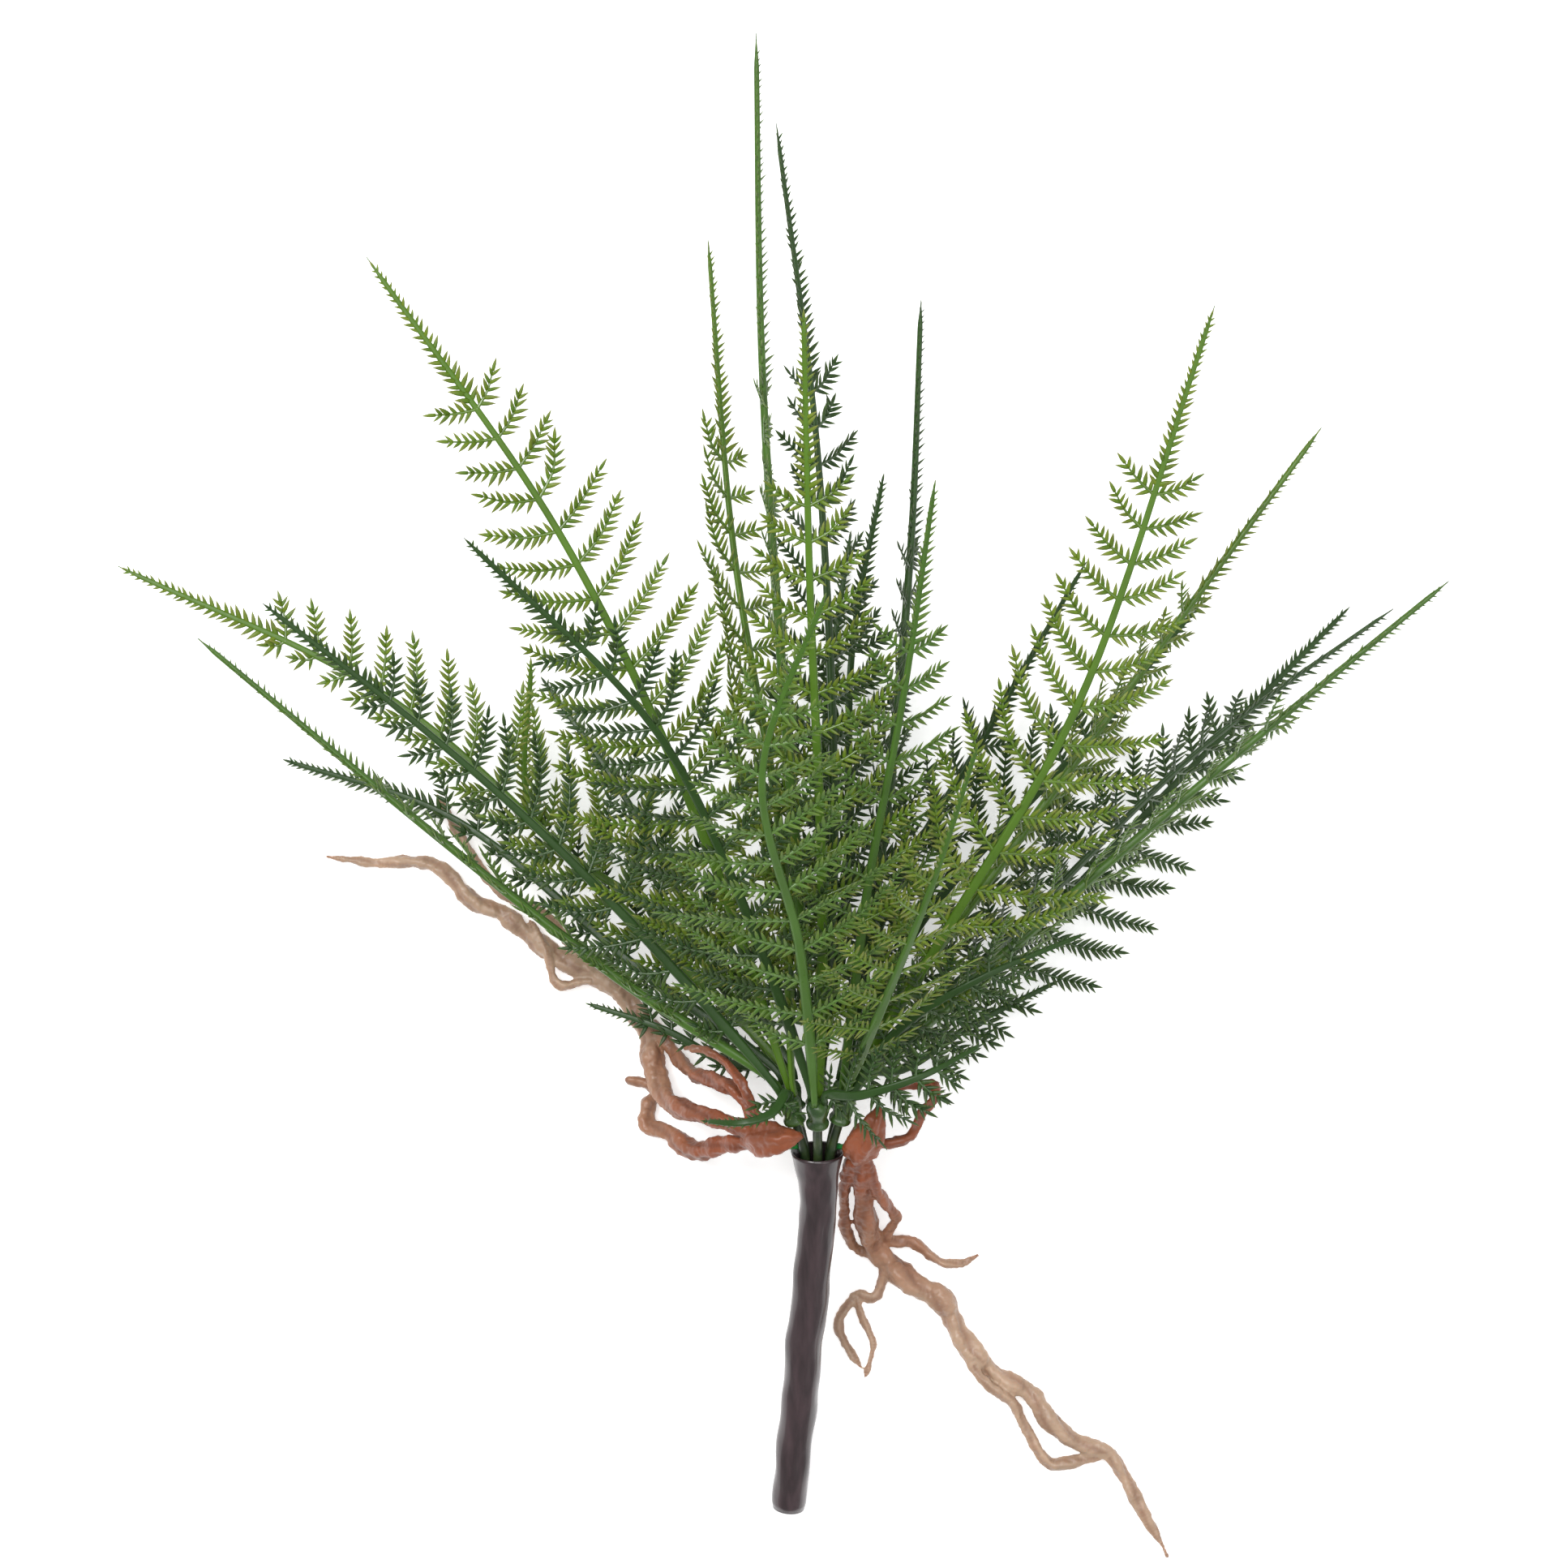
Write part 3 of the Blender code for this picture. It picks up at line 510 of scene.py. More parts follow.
def frondSkeleton(name, path, row, chance):
    spray, first, second, tip, roll, longest, bare, tone = row
    skeleton = Skeleton()
    crowding = 1.0 if longest > leaf["small"] else 0.62
    uneven = leaf["lopsided"].get(name, ((leaf["sweep"], 1.0), (leaf["sweep"], 1.0)))
    foot = bare * leaf["lowest"] * path.total
    s = bare * path.total
    lower = s - leaf["step"][0] * 0.85 * mm * crowding
    while lower > foot:
        share = (lower - foot) / (bare * path.total - foot)
        growPinnae(skeleton, path, lower, roll, longest * mm * (0.36 + 0.40 * share), chance, uneven)
        lower -= leaf["step"][0] * 0.85 * mm * crowding
    lastPinna = s
    while s < path.total * leaf["last"]:
        u = s / path.total
        reach = pinnaLength(s, path.total, longest, bare)
        if reach < leaf["shortest"] * mm * crowding:
            break
        growPinnae(skeleton, path, s, roll, reach, chance, uneven)
        lastPinna = s
        s += (leaf["step"][0] * (1 - u) + leaf["step"][1] * u) * mm * crowding
    addLeaflets(skeleton, path, roll, lastPinna + 3 * mm, path.total * 0.985,
                lambda part: (1.12 - 0.66 * part) * (1.0 if longest > leaf["small"] else 0.7), chance,
                0.32 if abs(roll) > leaf["edgeOn"] else 0.0)
    return skeleton


def pinnaRoll(curve, facing):
    # the roll that turns a pinna's face the way its frond faces
    point, tangent, level, side = curve.frame(curve.total * 0.4, 0.0)
    wanted = (facing - tangent * facing.dot(tangent)).normalized()
    angle = math.atan2(level.cross(wanted).dot(tangent), level.dot(wanted))
    return math.degrees(angle)


def namedAttribute(tree, name, kind):
    node = tree.nodes.new("GeometryNodeInputNamedAttribute")
    node.data_type = kind
    node.inputs["Name"].default_value = name
    return node.outputs["Attribute"]


def leafletTree():
    # ribs become thin tubes, and a pointed leaflet stands on every leaflet point
    tree = bpy.data.node_groups.new("growLeaflets", "GeometryNodeTree")
    for label, kind in (("Geometry", "NodeSocketGeometry"), ("Leaflet Length", "NodeSocketFloat"),
                        ("Leaflet Width", "NodeSocketFloat"), ("Rib Sides", "NodeSocketInt"),
                        ("Blade", "NodeSocketMaterial"), ("Rib", "NodeSocketMaterial")):
        tree.interface.new_socket(label, in_out="INPUT", socket_type=kind)
    tree.interface.new_socket("Geometry", in_out="OUTPUT", socket_type="NodeSocketGeometry")
    node = tree.nodes.new
    link = tree.links.new
    gin = node("NodeGroupInput")
    gout = node("NodeGroupOutput")

    toCurve = node("GeometryNodeMeshToCurve")
    link(gin.outputs["Geometry"], toCurve.inputs["Mesh"])
    profile = node("GeometryNodeCurvePrimitiveCircle")
    link(gin.outputs["Rib Sides"], profile.inputs["Resolution"])
    profile.inputs["Radius"].default_value = 1.0
    tubes = node("GeometryNodeCurveToMesh")
    link(toCurve.outputs[0], tubes.inputs["Curve"])
    link(namedAttribute(tree, "radius", "FLOAT"), tubes.inputs["Scale"])
    link(profile.outputs[0], tubes.inputs["Profile Curve"])
    tubes.inputs["Fill Caps"].default_value = True
    ribMaterial = node("GeometryNodeSetMaterial")
    link(tubes.outputs[0], ribMaterial.inputs[0])
    link(gin.outputs["Rib"], ribMaterial.inputs["Material"])

    cone = node("GeometryNodeMeshCone")
    cone.fill_type = "NGON"
    cone.inputs["Vertices"].default_value = 6
    cone.inputs["Side Segments"].default_value = 4
    cone.inputs["Radius Top"].default_value = 0.0
    cone.inputs["Radius Bottom"].default_value = 1.0
    cone.inputs["Depth"].default_value = 1.0
    position = node("GeometryNodeInputPosition")
    split = node("ShaderNodeSeparateXYZ")
    link(position.outputs[0], split.inputs[0])
    fullness = node("ShaderNodeFloatCurve")      # narrow foot, widest at a third, long point
    curve = fullness.mapping.curves[0]
    curve.points[0].location = (0.0, 0.42)
    curve.points[1].location = (1.0, 1.0)
    curve.points.new(0.33, 0.74)
    curve.points.new(0.7, 1.0)
    fullness.mapping.update()
    link(split.outputs["Z"], fullness.inputs["Value"])
    width = node("ShaderNodeMath")
    width.operation = "MULTIPLY"
    link(fullness.outputs[0], width.inputs[0])
    link(gin.outputs["Leaflet Width"], width.inputs[1])
    wide = node("ShaderNodeMath")
    wide.operation = "MULTIPLY"
    link(split.outputs["X"], wide.inputs[0])
    link(width.outputs[0], wide.inputs[1])
    thick = node("ShaderNodeMath")
    thick.operation = "MULTIPLY"
    link(split.outputs["Y"], thick.inputs[0])
    link(width.outputs[0], thick.inputs[1])
    thin = node("ShaderNodeMath")
    thin.operation = "MULTIPLY"
    link(thick.outputs[0], thin.inputs[0])
    thin.inputs[1].default_value = 0.42
    curl = node("ShaderNodeMath")                # the point bends up from the face
    curl.operation = "POWER"
    link(split.outputs["Z"], curl.inputs[0])
    curl.inputs[1].default_value = 2.0
    curled = node("ShaderNodeMath")
    curled.operation = "MULTIPLY_ADD"
    link(curl.outputs[0], curled.inputs[0])
    curled.inputs[1].default_value = 0.0004
    link(thin.outputs[0], curled.inputs[2])
    tall = node("ShaderNodeMath")
    tall.operation = "MULTIPLY"
    link(split.outputs["Z"], tall.inputs[0])
    link(gin.outputs["Leaflet Length"], tall.inputs[1])
    shape = node("ShaderNodeCombineXYZ")
    link(wide.outputs[0], shape.inputs["X"])
    link(curled.outputs[0], shape.inputs["Y"])
    link(tall.outputs[0], shape.inputs["Z"])
    keepTip = node("GeometryNodeStoreNamedAttribute")
    keepTip.data_type = "FLOAT"
    keepTip.inputs["Name"].default_value = "tip"
    link(cone.outputs["Mesh"], keepTip.inputs["Geometry"])
    link(split.outputs["Z"], keepTip.inputs["Value"])
    shaped = node("GeometryNodeSetPosition")
    link(keepTip.outputs[0], shaped.inputs["Geometry"])
    link(shape.outputs[0], shaped.inputs["Position"])
    bladeMaterialNode = node("GeometryNodeSetMaterial")
    link(shaped.outputs[0], bladeMaterialNode.inputs[0])
    link(gin.outputs["Blade"], bladeMaterialNode.inputs["Material"])

    aim = node("FunctionNodeAlignRotationToVector")
    aim.axis = "Z"
    link(namedAttribute(tree, "along", "FLOAT_VECTOR"), aim.inputs["Vector"])
    turn = node("FunctionNodeAlignRotationToVector")
    turn.axis = "Y"
    turn.pivot_axis = "Z"
    link(aim.outputs[0], turn.inputs["Rotation"])
    link(namedAttribute(tree, "up", "FLOAT_VECTOR"), turn.inputs["Vector"])
    leaflets = node("GeometryNodeInstanceOnPoints")
    link(gin.outputs["Geometry"], leaflets.inputs["Points"])
    link(bladeMaterialNode.outputs[0], leaflets.inputs["Instance"])
    link(namedAttribute(tree, "isLeaflet", "FLOAT"), leaflets.inputs["Selection"])
    link(turn.outputs[0], leaflets.inputs["Rotation"])
    link(namedAttribute(tree, "size", "FLOAT"), leaflets.inputs["Scale"])
    join = node("GeometryNodeJoinGeometry")
    link(leaflets.outputs[0], join.inputs[0])
    link(ribMaterial.outputs[0], join.inputs[0])
    realize = node("GeometryNodeRealizeInstances")
    link(join.outputs[0], realize.inputs[0])
    link(realize.outputs[0], gout.inputs[0])
    return tree


def grown(name, source, tree, settings):
    # the modifier's result as a plain mesh
    carrier = bpy.data.objects.new(name + "Source", source)
    bpy.context.collection.objects.link(carrier)
    modifier = carrier.modifiers.new("grow", "NODES")
    modifier.node_group = tree
    for item in tree.interface.items_tree:
        if item.in_out == "INPUT" and item.name in settings:
            modifier[item.identifier] = settings[item.name]
    evaluated = carrier.evaluated_get(bpy.context.evaluated_depsgraph_get())
    mesh = bpy.data.meshes.new_from_object(evaluated)
    if not mesh.materials[0]:
        mesh.materials[0] = settings["Rib"]
    carrier.modifiers.clear()
    bpy.data.objects.remove(carrier, do_unlink=True)
    return mesh


def smoothed(mesh):
    mesh.polygons.foreach_set("use_smooth", [True] * len(mesh.polygons))
    mesh.update()
    return mesh


def restOnFloor(mesh, lowest=0.15 * mm):
    for vertex in mesh.vertices:
        vertex.co.z = max(vertex.co.z, lowest)


def makeFronds():
    tree = leafletTree()
    starts = rachisStarts()
    for index, (name, row) in enumerate(fronds.items()):
        spray, first, second, tip, roll, longest, bare, tone = row
        chance = random.Random(leaf["seed"] + index)
        start, up = starts[name]
        knots = [start, start + up * head["rachisLead"] * mm, place(first), place(second), place(tip)]
        path = Path(spline(knots, 14))
        skeleton = frondSkeleton(name, path, row, chance)
        shade = "light" if name in leaf["lime"] else tone
        settings = {"Leaflet Length": leaf["leafletLength"] * mm, "Leaflet Width": leaf["leafletWidth"] * mm,
                    "Rib Sides": 6, "Blade": bladeFinish[shade], "Rib": ribHighlightFinish[shade]}
        mesh = grown(name, skeleton.mesh(name + "Skeleton"), tree, settings)
        verts, faces = rachisMesh(path, roll)
        strip = bpy.data.meshes.new(name + "Strip")
        strip.from_pydata(verts, [], faces)
        strip.materials.append(rachisFinish[tone])
        mesh.materials.append(rachisFinish[tone])
        work = bmesh.new()
        work.from_mesh(mesh)
        already = len(work.faces)
        work.from_mesh(strip)
        work.faces.ensure_lookup_table()
        for face in work.faces[already:]:
            face.material_index = len(mesh.materials) - 1
        work.to_mesh(mesh)
        work.free()
        restOnFloor(mesh)
        piece = bpy.data.objects.new("leafy_" + name, smoothed(mesh))
        bpy.context.collection.objects.link(piece)
        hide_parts(name)
        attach(piece, "root")
    print("fronds grown:", len(fronds))


# ---- tubes and lathed shapes ----
def turnedFrames(points):
    # tangents with two directions across that turn as little as possible
    tangents = []
    for i in range(len(points)):
        tangents.append((points[min(i + 1, len(points) - 1)] - points[max(i - 1, 0)]).normalized())
    normal = tangents[0].orthogonal().normalized()
    frames = []
    for i, tangent in enumerate(tangents):
        if i:
            normal = tangents[i - 1].rotation_difference(tangent) @ normal
        normal = (normal - tangent * normal.dot(tangent)).normalized()
        frames.append((tangent, normal, tangent.cross(normal)))
    return frames


def lofted(rings):
    # rings of the same number of points joined into a closed skin
    count = len(rings[0])
    verts = [point for ring in rings for point in ring]
    faces = []
    for i in range(len(rings) - 1):
        for k in range(count):
            a, b = i * count + k, i * count + (k + 1) % count
            faces.append((a, b, b + count, a + count))
    faces.append(tuple(reversed(range(count))))
    faces.append(tuple(range((len(rings) - 1) * count, len(rings) * count)))
    return verts, faces


def ringAround(point, normal, binormal, radius, sides):
    angles = [2 * math.pi * k / sides for k in range(sides)]
    return [point + radius * (math.cos(a) * normal + math.sin(a) * binormal) for a in angles]


def tubeRings(points, radii, sides):
    rings = []
    for point, radius, (tangent, normal, binormal) in zip(points, radii, turnedFrames(points)):
        rings.append(ringAround(point, normal, binormal, radius, sides))
    return rings


def addPiece(name, mesh, covers):
    piece = bpy.data.objects.new(name, smoothed(mesh))
    bpy.context.collection.objects.link(piece)
    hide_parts(covers)
    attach(piece, "root")
    return piece


def meshOf(name, rings, material):
    verts, faces = lofted(rings)
    mesh = bpy.data.meshes.new(name)
    mesh.from_pydata(verts, [], faces)
    mesh.materials.append(material)
    work = bmesh.new()
    work.from_mesh(mesh)
    bmesh.ops.recalc_face_normals(work, faces=work.faces)
    if work.calc_volume(signed=True) < 0:
        bmesh.ops.reverse_faces(work, faces=work.faces)
    work.to_mesh(mesh)
    work.free()
    return mesh


# ---- sleeve of the stem ----
sleeve = {
    "radii": [5.4, 5.7, 5.9, 5.8, 8.4], "wallRadii": [7.75, 6.3, 4.9], "wallDepths": [0.25, 6, 20],
    "sides": 56, "steps": 16, "lump": 0.16, "sway": 0.45,
    # the lighter streak colour is a painted highlight
    "color": (0.020, 0.0105, 0.0125), "streakHighlight": (0.047, 0.027, 0.031), "gloss": 0.36,
}


def sleeveMaterial():
    material, tree, shader, grain = newMaterial("sleevePlastic", 90, 0.22, sleeve["gloss"], 0.22)
    grain.inputs["Stretch"].default_value = (1.0, 0.14, 1.0)
    # painted highlight: lighter streaks along the stem stand for its glossy lengthwise glints
    streaks = tree.nodes.new("ShaderNodeTexNoise")
    streaks.inputs["Scale"].default_value = 1.0
    streaks.inputs["Detail"].default_value = 4
    coords = tree.nodes.new("ShaderNodeTexCoord")
    longways = tree.nodes.new("ShaderNodeMapping")
    longways.inputs["Scale"].default_value = (420, 26, 300)
    tree.links.new(coords.outputs["Object"], longways.inputs["Vector"])
    tree.links.new(longways.outputs[0], streaks.inputs["Vector"])
    color = mixColor(tree, ramped(tree, streaks.outputs[0], 0.35, 0.75), sleeve["color"], sleeve["streakHighlight"])
    tree.links.new(color, grain.inputs["Color"])
    shader.inputs["Specular IOR Level"].default_value = 0.35
    shader.inputs["Coat Weight"].default_value = 0.6
    shader.inputs["Coat Roughness"].default_value = 0.09
    return material


def makeSleeve():
    points = spline([place(p) for p in head["stemPoints"]], sleeve["steps"])
    points[-1] = mouth
    frames = turnedFrames(points)
    rings = []
    last = len(points) - 1
    for i, (point, (tangent, normal, binormal)) in enumerate(zip(points, frames)):
        knot = min(i // sleeve["steps"], len(sleeve["radii"]) - 2)
        part = i / sleeve["steps"] - knot
        if knot == len(sleeve["radii"]) - 2:
            part = part ** 2.4                  # the mouth flares most near the rim
        radius = sleeve["radii"][knot] * (1 - part) + sleeve["radii"][knot + 1] * part
        calm = min(1.0, i / 4, (last - i) / (sleeve["steps"] * 0.7))
        shift = Vector((noise.noise(Vector((i * 0.16, 3, 1))), 0, 0)) * sleeve["sway"] * mm * 2 * calm
        ring = []
        for k in range(sleeve["sides"]):
            angle = 2 * math.pi * k / sleeve["sides"]
            out = math.cos(angle) * normal + math.sin(angle) * binormal
            lump = noise.noise(Vector((math.cos(angle) * 1.3, math.sin(angle) * 1.3, i * 0.22)))
            edge = 0.93 if i == 0 else 1.0
            ring.append(point + shift + out * (radius * edge + lump * sleeve["lump"] * 2 * (0.3 + calm)) * mm)
        rings.append(ring)
    tangent, normal, binormal = frames[-1]
    for radius, depth in zip(sleeve["wallRadii"], sleeve["wallDepths"]):
        rings.append(ringAround(mouth - axis * depth * mm, normal, binormal, radius * mm, sleeve["sides"]))
    mesh = meshOf("sleeveMesh", rings, sleeveMaterial())
    restOnFloor(mesh, 0.05 * mm)
    addPiece("stemSleeve", mesh, "stem")
    print("sleeve made")


# ---- stalks, swollen feet and root pegs ----
headColors = {
    "stalk": (0.012, 0.028, 0.010), "stalkWorn": (0.034, 0.054, 0.014),
    "foot": (0.018, 0.050, 0.010), "footTop": (0.036, 0.084, 0.014),
    "peg": (0.035, 0.290, 0.060), "pegDeep": (0.020, 0.180, 0.040),
}
footOutline = [(0.42, 0.05), (0.60, -0.01), (0.86, 0.0), (0.98, 0.05), (1.0, 0.12), (0.93, 0.19), (0.80, 0.26),
               (0.80, 0.38), (0.90, 0.54), (0.98, 0.70), (0.96, 0.84), (0.86, 0.96), (0.66, 1.04), (0.40, 1.09),
               (0.12, 1.11)]


def twoToneMaterial(name, first, second, scale, gloss, bump=0.2):
    material, tree, shader, grain = newMaterial(name, scale, 0.18, gloss, bump)
    patches = tree.nodes.new("ShaderNodeTexNoise")
    patches.inputs["Scale"].default_value = scale * 1.7
    coords = tree.nodes.new("ShaderNodeTexCoord")
    tree.links.new(coords.outputs["Object"], patches.inputs["Vector"])
    color = mixColor(tree, ramped(tree, patches.outputs[0], 0.38, 0.66), first, second)
    tree.links.new(color, grain.inputs["Color"])
    shader.inputs["Coat Weight"].default_value = 0.15
    shader.inputs["Coat Roughness"].default_value = 0.25
    return material


def makeHead():
    stalkFinish = twoToneMaterial("stalkPlastic", headColors["stalk"], headColors["stalkWorn"], 130, 0.36)
    footFinish = twoToneMaterial("footPlastic", headColors["foot"], headColors["footTop"], 110, 0.30)
    pegFinish = twoToneMaterial("pegPlastic", headColors["peg"], headColors["pegDeep"], 150, 0.28)
    for spray, turn in head["sprays"].items():
        base = ringPoint(head["stalkRing"] * 0.62, turn, -head["socketDepth"] + head["gap"] * 2)
        foot = ringPoint(head["footRing"], turn, head["footRise"])
        inside = foot + footAxis(turn) * (head["footHole"] - head["gap"]) * mm
        path = spline([base, ringPoint(head["stalkRing"], turn, 0.0), foot, inside], 10)
        radii = []
        for i in range(len(path)):
            swell = 0.72 + 0.28 * min(1.0, i / 10)
            ripple = 0.05 * noise.noise(Vector((i * 0.6, turn, 0)))
            radii.append(head["stalkRadius"] * mm * (swell + ripple))
        addPiece("stalkOf_" + spray, meshOf("stalkMesh", tubeRings(path, radii, 18), stalkFinish),
                 "stalk_" + spray)
        up = footAxis(turn)
        sideways = up.cross(Vector((0, 0, 1))).normalized()
        front = sideways.cross(up)
        rings = []
        for radius, height in footOutline:
            point = foot + up * height * head["footLength"] * mm
            rings.append(ringAround(point, sideways, front, radius * head["footRadius"] * mm, 28))
        mesh = meshOf("footMesh", rings, footFinish)
        normals = [vertex.normal.copy() for vertex in mesh.vertices]
        for vertex, normal in zip(mesh.vertices, normals):
            vertex.co += normal * noise.noise(vertex.co * 420) * 0.22 * mm
        addPiece("footOf_" + spray, mesh, "foot_" + spray)
    for name, (turn, target) in pegs["places"].items():
        base = ringPoint(head["stalkRing"] * 0.88, turn, -pegs["depth"])
        path = spline([base, ringPoint(head["stalkRing"] * 1.04, turn, 1), place(target)], 10)
        radii = [pegs["radius"] * mm * (1 + 0.10 * math.cos(i * 1.3)) for i in range(len(path))]
        addPiece("greenOf_" + name, meshOf("pegMesh", tubeRings(path, radii, 16), pegFinish), name)
    print("head made")


pegs = {
    "places": {"root_peg_left": (180, (1.8, -109.6, 45.3)), "root_peg_right": (0, (19.6, -109.9, 44.2))},
    "radius": 0.95, "depth": 12,
}


# ---- rubbery roots ----
# each strand: places from the bulb outwards, thickness at the start and at the end
rootSets = {
    "roots_left": {
        "bulb": [(6.5, -106, 52), (2.5, -106.5, 51.5), (-1.5, -107, 49), (-5.5, -107.5, 44.5), (-9, -108.5, 38.5)],
        "bulbRadii": [0.5, 2.4, 3.8, 4.3, 2.8],
        "strands": [
            ([(-5.5, -108, 44), (-16, -109.5, 33), (-28, -113, 18), (-36, -108, 9), (-43, -106, 4),
              (-43, -100, 2.4), (-40, -96, 2.4)], 3.0, 2.1),
            ([(-6, -106, 44), (-21.5, -101.5, 36), (-31.5, -99.5, 24), (-37.5, -95.5, 12), (-41.5, -85.5, 4),
              (-42.5, -77.5, 2.4), (-46.5, -70, 3), (-53, -63, 3.2), (-62, -57, 2.5), (-70, -53.5, 2.1),
              (-83, -43.5, 2.1), (-90, -38, 2.1), (-98, -35, 2.1), (-108.5, -24.5, 2.1), (-114.5, -22, 2.1),
              (-130, -22, 1.8), (-146.5, -20, 1.4)], 3.1, 1.2),
            ([(-40, -96, 2.4), (-44, -92.5, 2.2), (-50.5, -91.5, 2.0)], 1.9, 1.4),
            ([(-6, -105, 43), (-14.5, -93, 40), (-21.5, -90, 30), (-28.5, -88.5, 16), (-34, -83, 7),
              (-41.5, -72.5, 3.0)], 2.4, 1.8),
            ([(-5.5, -104.5, 45), (-11, -93, 49), (-16.5, -85, 46), (-23.5, -80, 42), (-31, -79.5, 38)], 1.7, 1.1),
            ([(-53, -63, 3.2), (-61.5, -59.5, 4.6), (-71.5, -61, 5.2), (-76, -48.5, 5.8), (-81, -40, 3.8)],
             1.7, 1.0),
            ([(-62, -57, 2.4), (-74, -40, 5.6), (-83.5, -35, 5.8), (-92, -29.5, 5.4), (-102, -15, 4.4),
              (-110.5, 0, 2.2)], 1.7, 1.0),
        ],
    },
    "roots_right": {
        "bulb": [(30.5, -96, 53), (29, -100.5, 53), (27, -105.5, 50.5), (24.5, -109.5, 46), (23.5, -112.5, 41)],
        "bulbRadii": [0.5, 2.4, 3.8, 4.4, 3.0],
        "strands": [
            ([(23.5, -111.5, 42), (25, -122, 28), (26.5, -134, 16), (29.5, -145, 5), (35.5, -151, 2.3),
              (41, -156.5, 2.3), (51, -161.5, 2.3), (57, -173.5, 2.3), (68.5, -186, 2.3), (79.5, -192, 2.3),
              (86, -201, 2.3), (94, -207.5, 2.3), (104.5, -211, 2.3), (110, -219.5, 2.1), (114, -227.5, 2.1),
              (119.5, -236.5, 1.8), (123.5, -244.5, 1.4)], 3.4, 1.2),
            ([(57, -173.5, 2.3), (59.5, -180, 4.6), (64.5, -187.5, 6.4), (73, -194, 5.6), (78, -203, 3.4),
              (86, -214.5, 2.2), (94, -213.5, 2.4), (104.5, -211, 2.6)], 1.8, 1.5),
            ([(24.5, -108.5, 44), (30, -108.5, 46), (34.5, -108.5, 46), (40.5, -106, 45), (43.5, -99.5, 44),
              (47.5, -94.5, 43), (47, -90.5, 43), (42.5, -90.5, 42), (34.5, -92, 42)], 1.9, 1.2),
            ([(22, -111, 42), (20.5, -117, 34), (19.5, -129, 20), (21, -141, 8), (24.5, -146, 4.5),
              (29.5, -147, 3.6)], 2.0, 1.4),
            ([(25, -110, 43), (28, -119.5, 34), (31.5, -128, 24), (36, -134.5, 14), (33.5, -142.5, 5),
              (41.5, -143.5, 2.4), (51, -150, 2.0), (57, -150.5, 1.8), (63, -147.5, 1.4)], 1.9, 1.0),
            ([(29.5, -145, 5), (32.5, -151, 3.8), (29.5, -161, 2.4), (24, -160.5, 2.0), (19.5, -166, 2.0),
              (18, -170, 1.9), (21, -177, 1.8), (25.5, -184, 1.4)], 1.8, 1.0),
            ([(23.5, -161, 2.2), (26.5, -169.5, 2.0), (29, -177, 1.9), (26.5, -187, 1.4)], 1.4, 0.9),
        ],
    },
}
rubber = {
    "fuller": (0.86, 1.28), "bulbFuller": 1.28, "cords": 3, "cordOffset": 0.38, "cordRadius": 0.72, "turnEvery": 75, "knuckle": 0.26,
    "voxel": 0.5, "paleFrom": 26, "paleTo": 84, "ripple": 0.46,
    "brown": (0.235, 0.066, 0.026), "mid": (0.290, 0.140, 0.080), "cream": (0.400, 0.275, 0.190),
    # the groove colours are painted shade in the hollows between the cords
    "grooveShade": (0.110, 0.028, 0.012), "paleGrooveShade": (0.230, 0.120, 0.074),
}


def rootMaterial():
    material, tree, shader, grain = newMaterial("rootRubber", 110, 0.14, 0.40, 0.35)
    pale = attributeValue(tree, "pale")
    near = mixColor(tree, ramped(tree, pale, 0.0, 0.5), rubber["brown"], rubber["mid"])
    skin = mixColor(tree, ramped(tree, pale, 0.5, 1.0), near, rubber["cream"])
    # painted shade: the colour darkens deep in the grooves between the cords
    hollowShade = mixColor(tree, pale, rubber["grooveShade"], rubber["paleGrooveShade"])
    tree.links.new(mixColor(tree, attributeValue(tree, "grooveShade"), skin, hollowShade), grain.inputs["Color"])
    shader.inputs["Subsurface Weight"].default_value = 0.22
    shader.inputs["Subsurface Radius"].default_value = (1.0, 0.5, 0.3)
    shader.inputs["Subsurface Scale"].default_value = 0.003
    shader.inputs["Specular IOR Level"].default_value = 0.45
    return material


def strandSamples(points, thick, thin, seed):
    path = Path(spline([place(p) for p in points], 6))
    count = max(4, int(path.total / (1.0 * mm)))
    samples = []
    radii = []
    for i in range(count + 1):
        part = i / count
        near, far = rubber["fuller"]
        radius = (thick + (thin - thick) * part ** 1.6) * (near + (far - near) * min(1.0, i / 70)) * mm
        radius *= 1 + rubber["knuckle"] * noise.noise(Vector((i * 0.21, seed, 0.5)))
        if part > 0.93:
            radius *= 1 - 0.72 * (part - 0.93) / 0.07
        point = path.at(part * path.total)
        point.z = max(point.z, radius * 1.06)
        samples.append(point)
        radii.append(radius)
    return samples, radii


def growStrand(work, samples, radii, seed):
    frames = turnedFrames(samples)
    for cord in range(rubber["cords"]):
        rings = []
        for i, (point, radius, (tangent, normal, binormal)) in enumerate(zip(samples, radii, frames)):
            angle = 2 * math.pi * (cord / rubber["cords"] + i / rubber["turnEvery"]) + seed
            shift = (math.cos(angle) * normal + math.sin(angle) * binormal) * radius * rubber["cordOffset"]
            rings.append(ringAround(point + shift, normal, binormal, radius * rubber["cordRadius"], 10))
        addRings(work, rings)


def addRings(work, rings):
    verts, faces = lofted(rings)
    made = [work.verts.new(v) for v in verts]
    for face in faces:
        work.faces.new([made[i] for i in face])


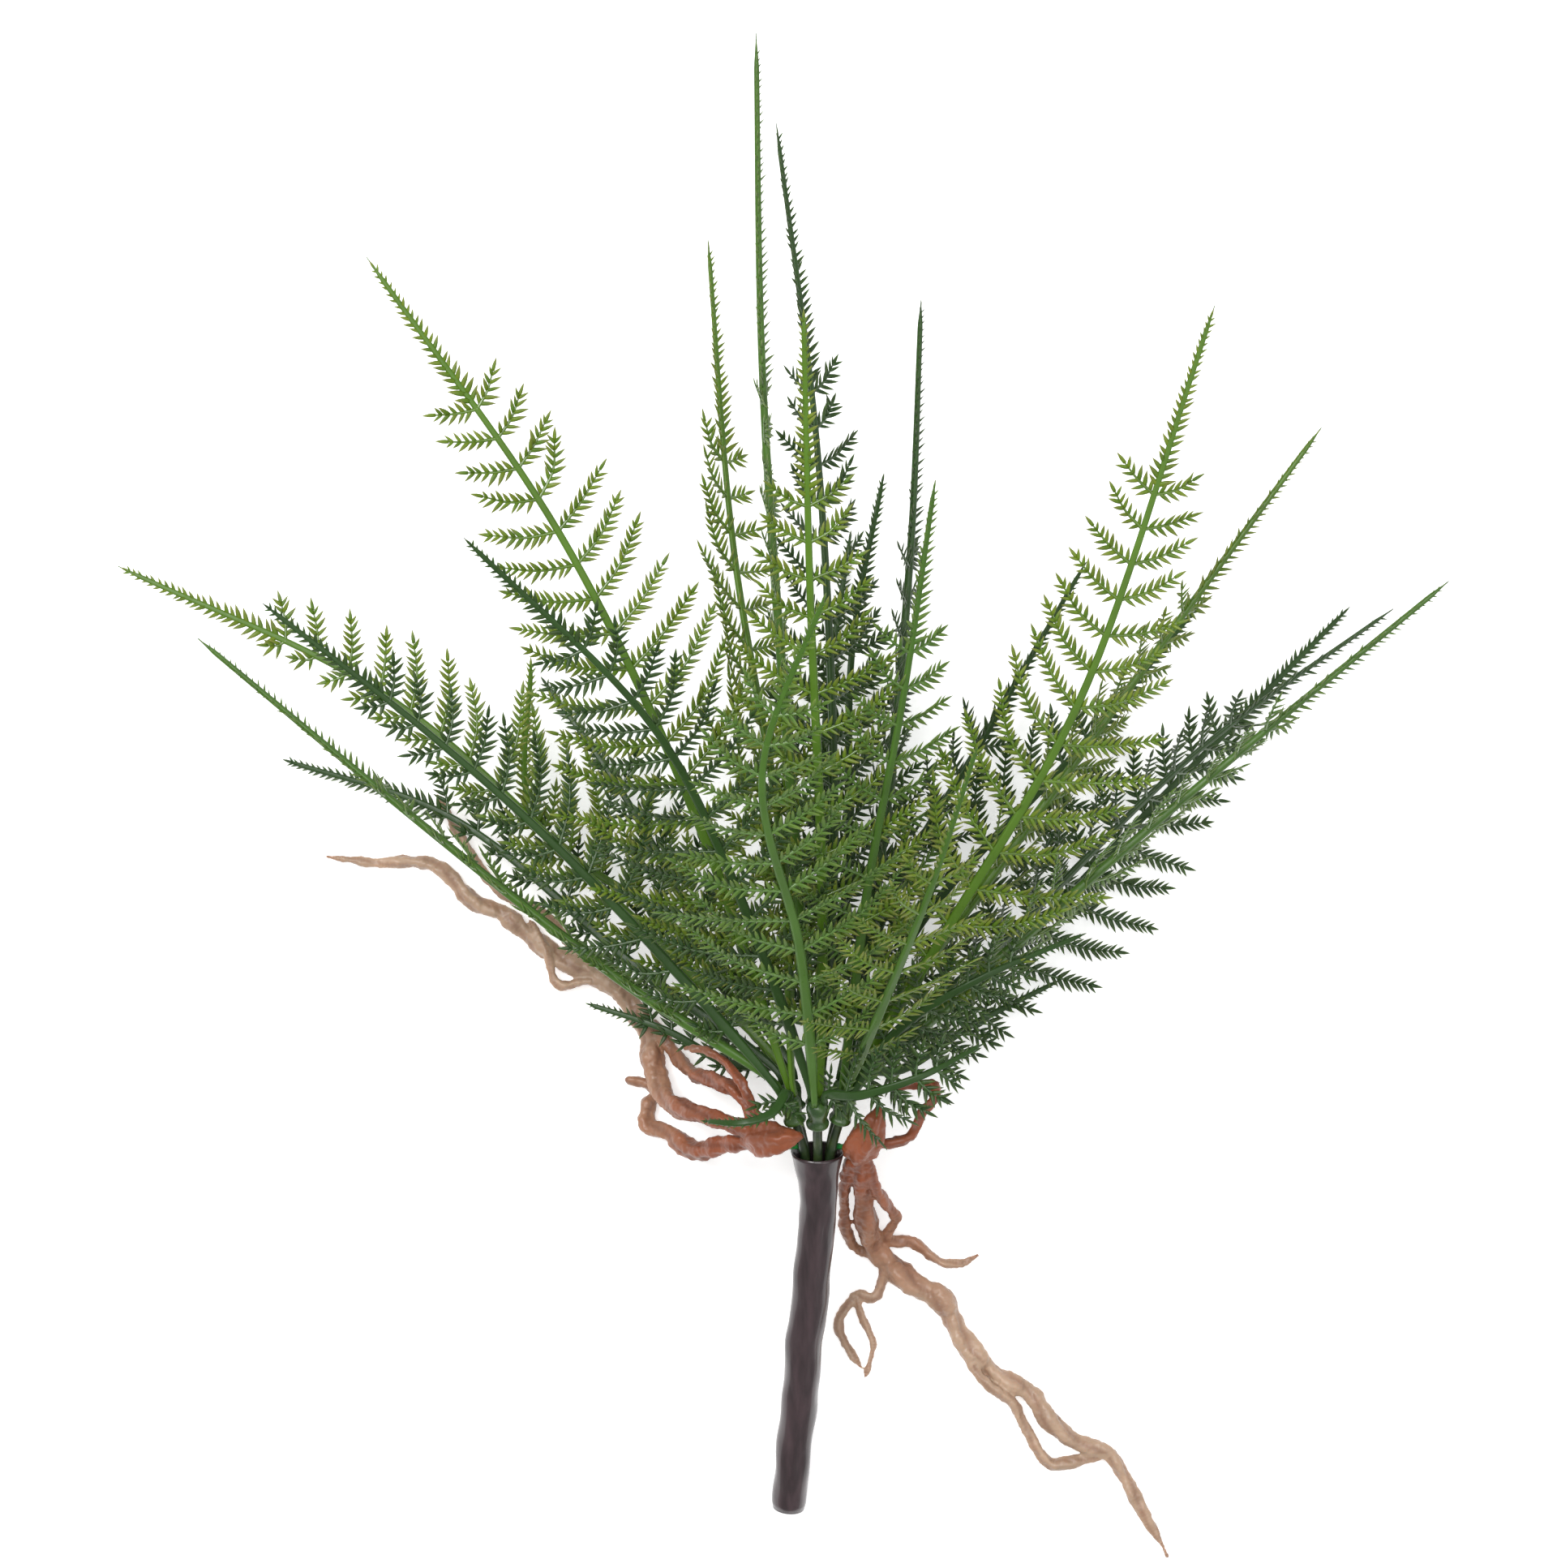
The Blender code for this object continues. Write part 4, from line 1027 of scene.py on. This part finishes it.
def makeRoots():
    finish = rootMaterial()
    for name, row in rootSets.items():
        work = bmesh.new()
        cores = []
        bulbPath = spline([place(p) for p in row["bulb"]], 6)
        bulbRadii = []
        for i in range(len(bulbPath)):
            knot = min(i // 6, len(row["bulbRadii"]) - 2)
            part = i / 6 - knot
            bulbRadii.append((row["bulbRadii"][knot] * (1 - part) + row["bulbRadii"][knot + 1] * part) * mm)
        rings = []
        for point, radius, (tangent, normal, binormal) in zip(bulbPath, bulbRadii, turnedFrames(bulbPath)):
            ring = []
            for k in range(24):
                angle = 2 * math.pi * k / 24
                out = math.cos(angle) * normal + math.sin(angle) * binormal
                ring.append(point + out * radius * rubber["bulbFuller"] * (1 + 0.12 * math.cos(angle * 5)))
            rings.append(ring)
            cores.append((point, radius * 1.1))
        addRings(work, rings)
        for seed, (points, thick, thin) in enumerate(row["strands"]):
            samples, radii = strandSamples(points, thick, thin, seed * 3.7 + len(name))
            growStrand(work, samples, radii, seed * 1.9)
            cores += list(zip(samples, radii))
        bmesh.ops.recalc_face_normals(work, faces=work.faces)
        raw = bpy.data.meshes.new(name + "Raw")
        work.to_mesh(raw)
        work.free()
        carrier = bpy.data.objects.new(name + "Carrier", raw)
        bpy.context.collection.objects.link(carrier)
        fuse = carrier.modifiers.new("fuse", "REMESH")
        fuse.mode = "VOXEL"
        fuse.voxel_size = rubber["voxel"] * mm
        soften = carrier.modifiers.new("soften", "SMOOTH")
        soften.factor = 0.5
        soften.iterations = 3
        evaluated = carrier.evaluated_get(bpy.context.evaluated_depsgraph_get())
        mesh = bpy.data.meshes.new_from_object(evaluated)
        carrier.modifiers.clear()
        bpy.data.objects.remove(carrier, do_unlink=True)
        finishRoots(mesh, cores, place(row["bulb"][2]))
        mesh.materials.clear()
        mesh.materials.append(finish)
        addPiece("rubber_" + name, mesh, name)
        print(name, "made,", len(mesh.polygons), "faces")


def finishRoots(mesh, cores, bulbPlace):
    # fine lengthwise ripples, how pale each place is, and how deep in a groove it lies, where the colour is darkened
    # as painted shade
    tree = KDTree(len(cores))
    for i, (point, radius) in enumerate(cores):
        tree.insert(point, i)
    tree.balance()
    pale = []
    grooveShade = []
    for vertex in mesh.vertices:
        point, index, distance = tree.find(vertex.co)
        # depth into a groove, used to paint shade there
        depth = 1.04 - distance / cores[index][1]
        grooveShade.append(min(1.0, max(0.0, depth / 0.30)))
        away = (vertex.co - bulbPlace).length / mm
        blotch = 14 * noise.noise(vertex.co * 90)
        pale.append(min(1.0, max(0.0, (away + blotch - rubber["paleFrom"]) / (rubber["paleTo"] - rubber["paleFrom"]))))
    normals = [vertex.normal.copy() for vertex in mesh.vertices]
    for vertex, normal in zip(mesh.vertices, normals):
        coarse = noise.noise(vertex.co * 300)
        fine = noise.noise(vertex.co * 820)
        vertex.co += normal * (coarse * 1.2 + fine * 0.6) * rubber["ripple"] * mm
    for label, values in (("pale", pale), ("grooveShade", grooveShade)):
        layer = mesh.attributes.new(label, "FLOAT", "POINT")
        layer.data.foreach_set("value", values)
    restOnFloor(mesh, 0.1 * mm)


makeCamera()
makeStudio()
makeSleeve()
makeHead()
makeRoots()
makeFronds()
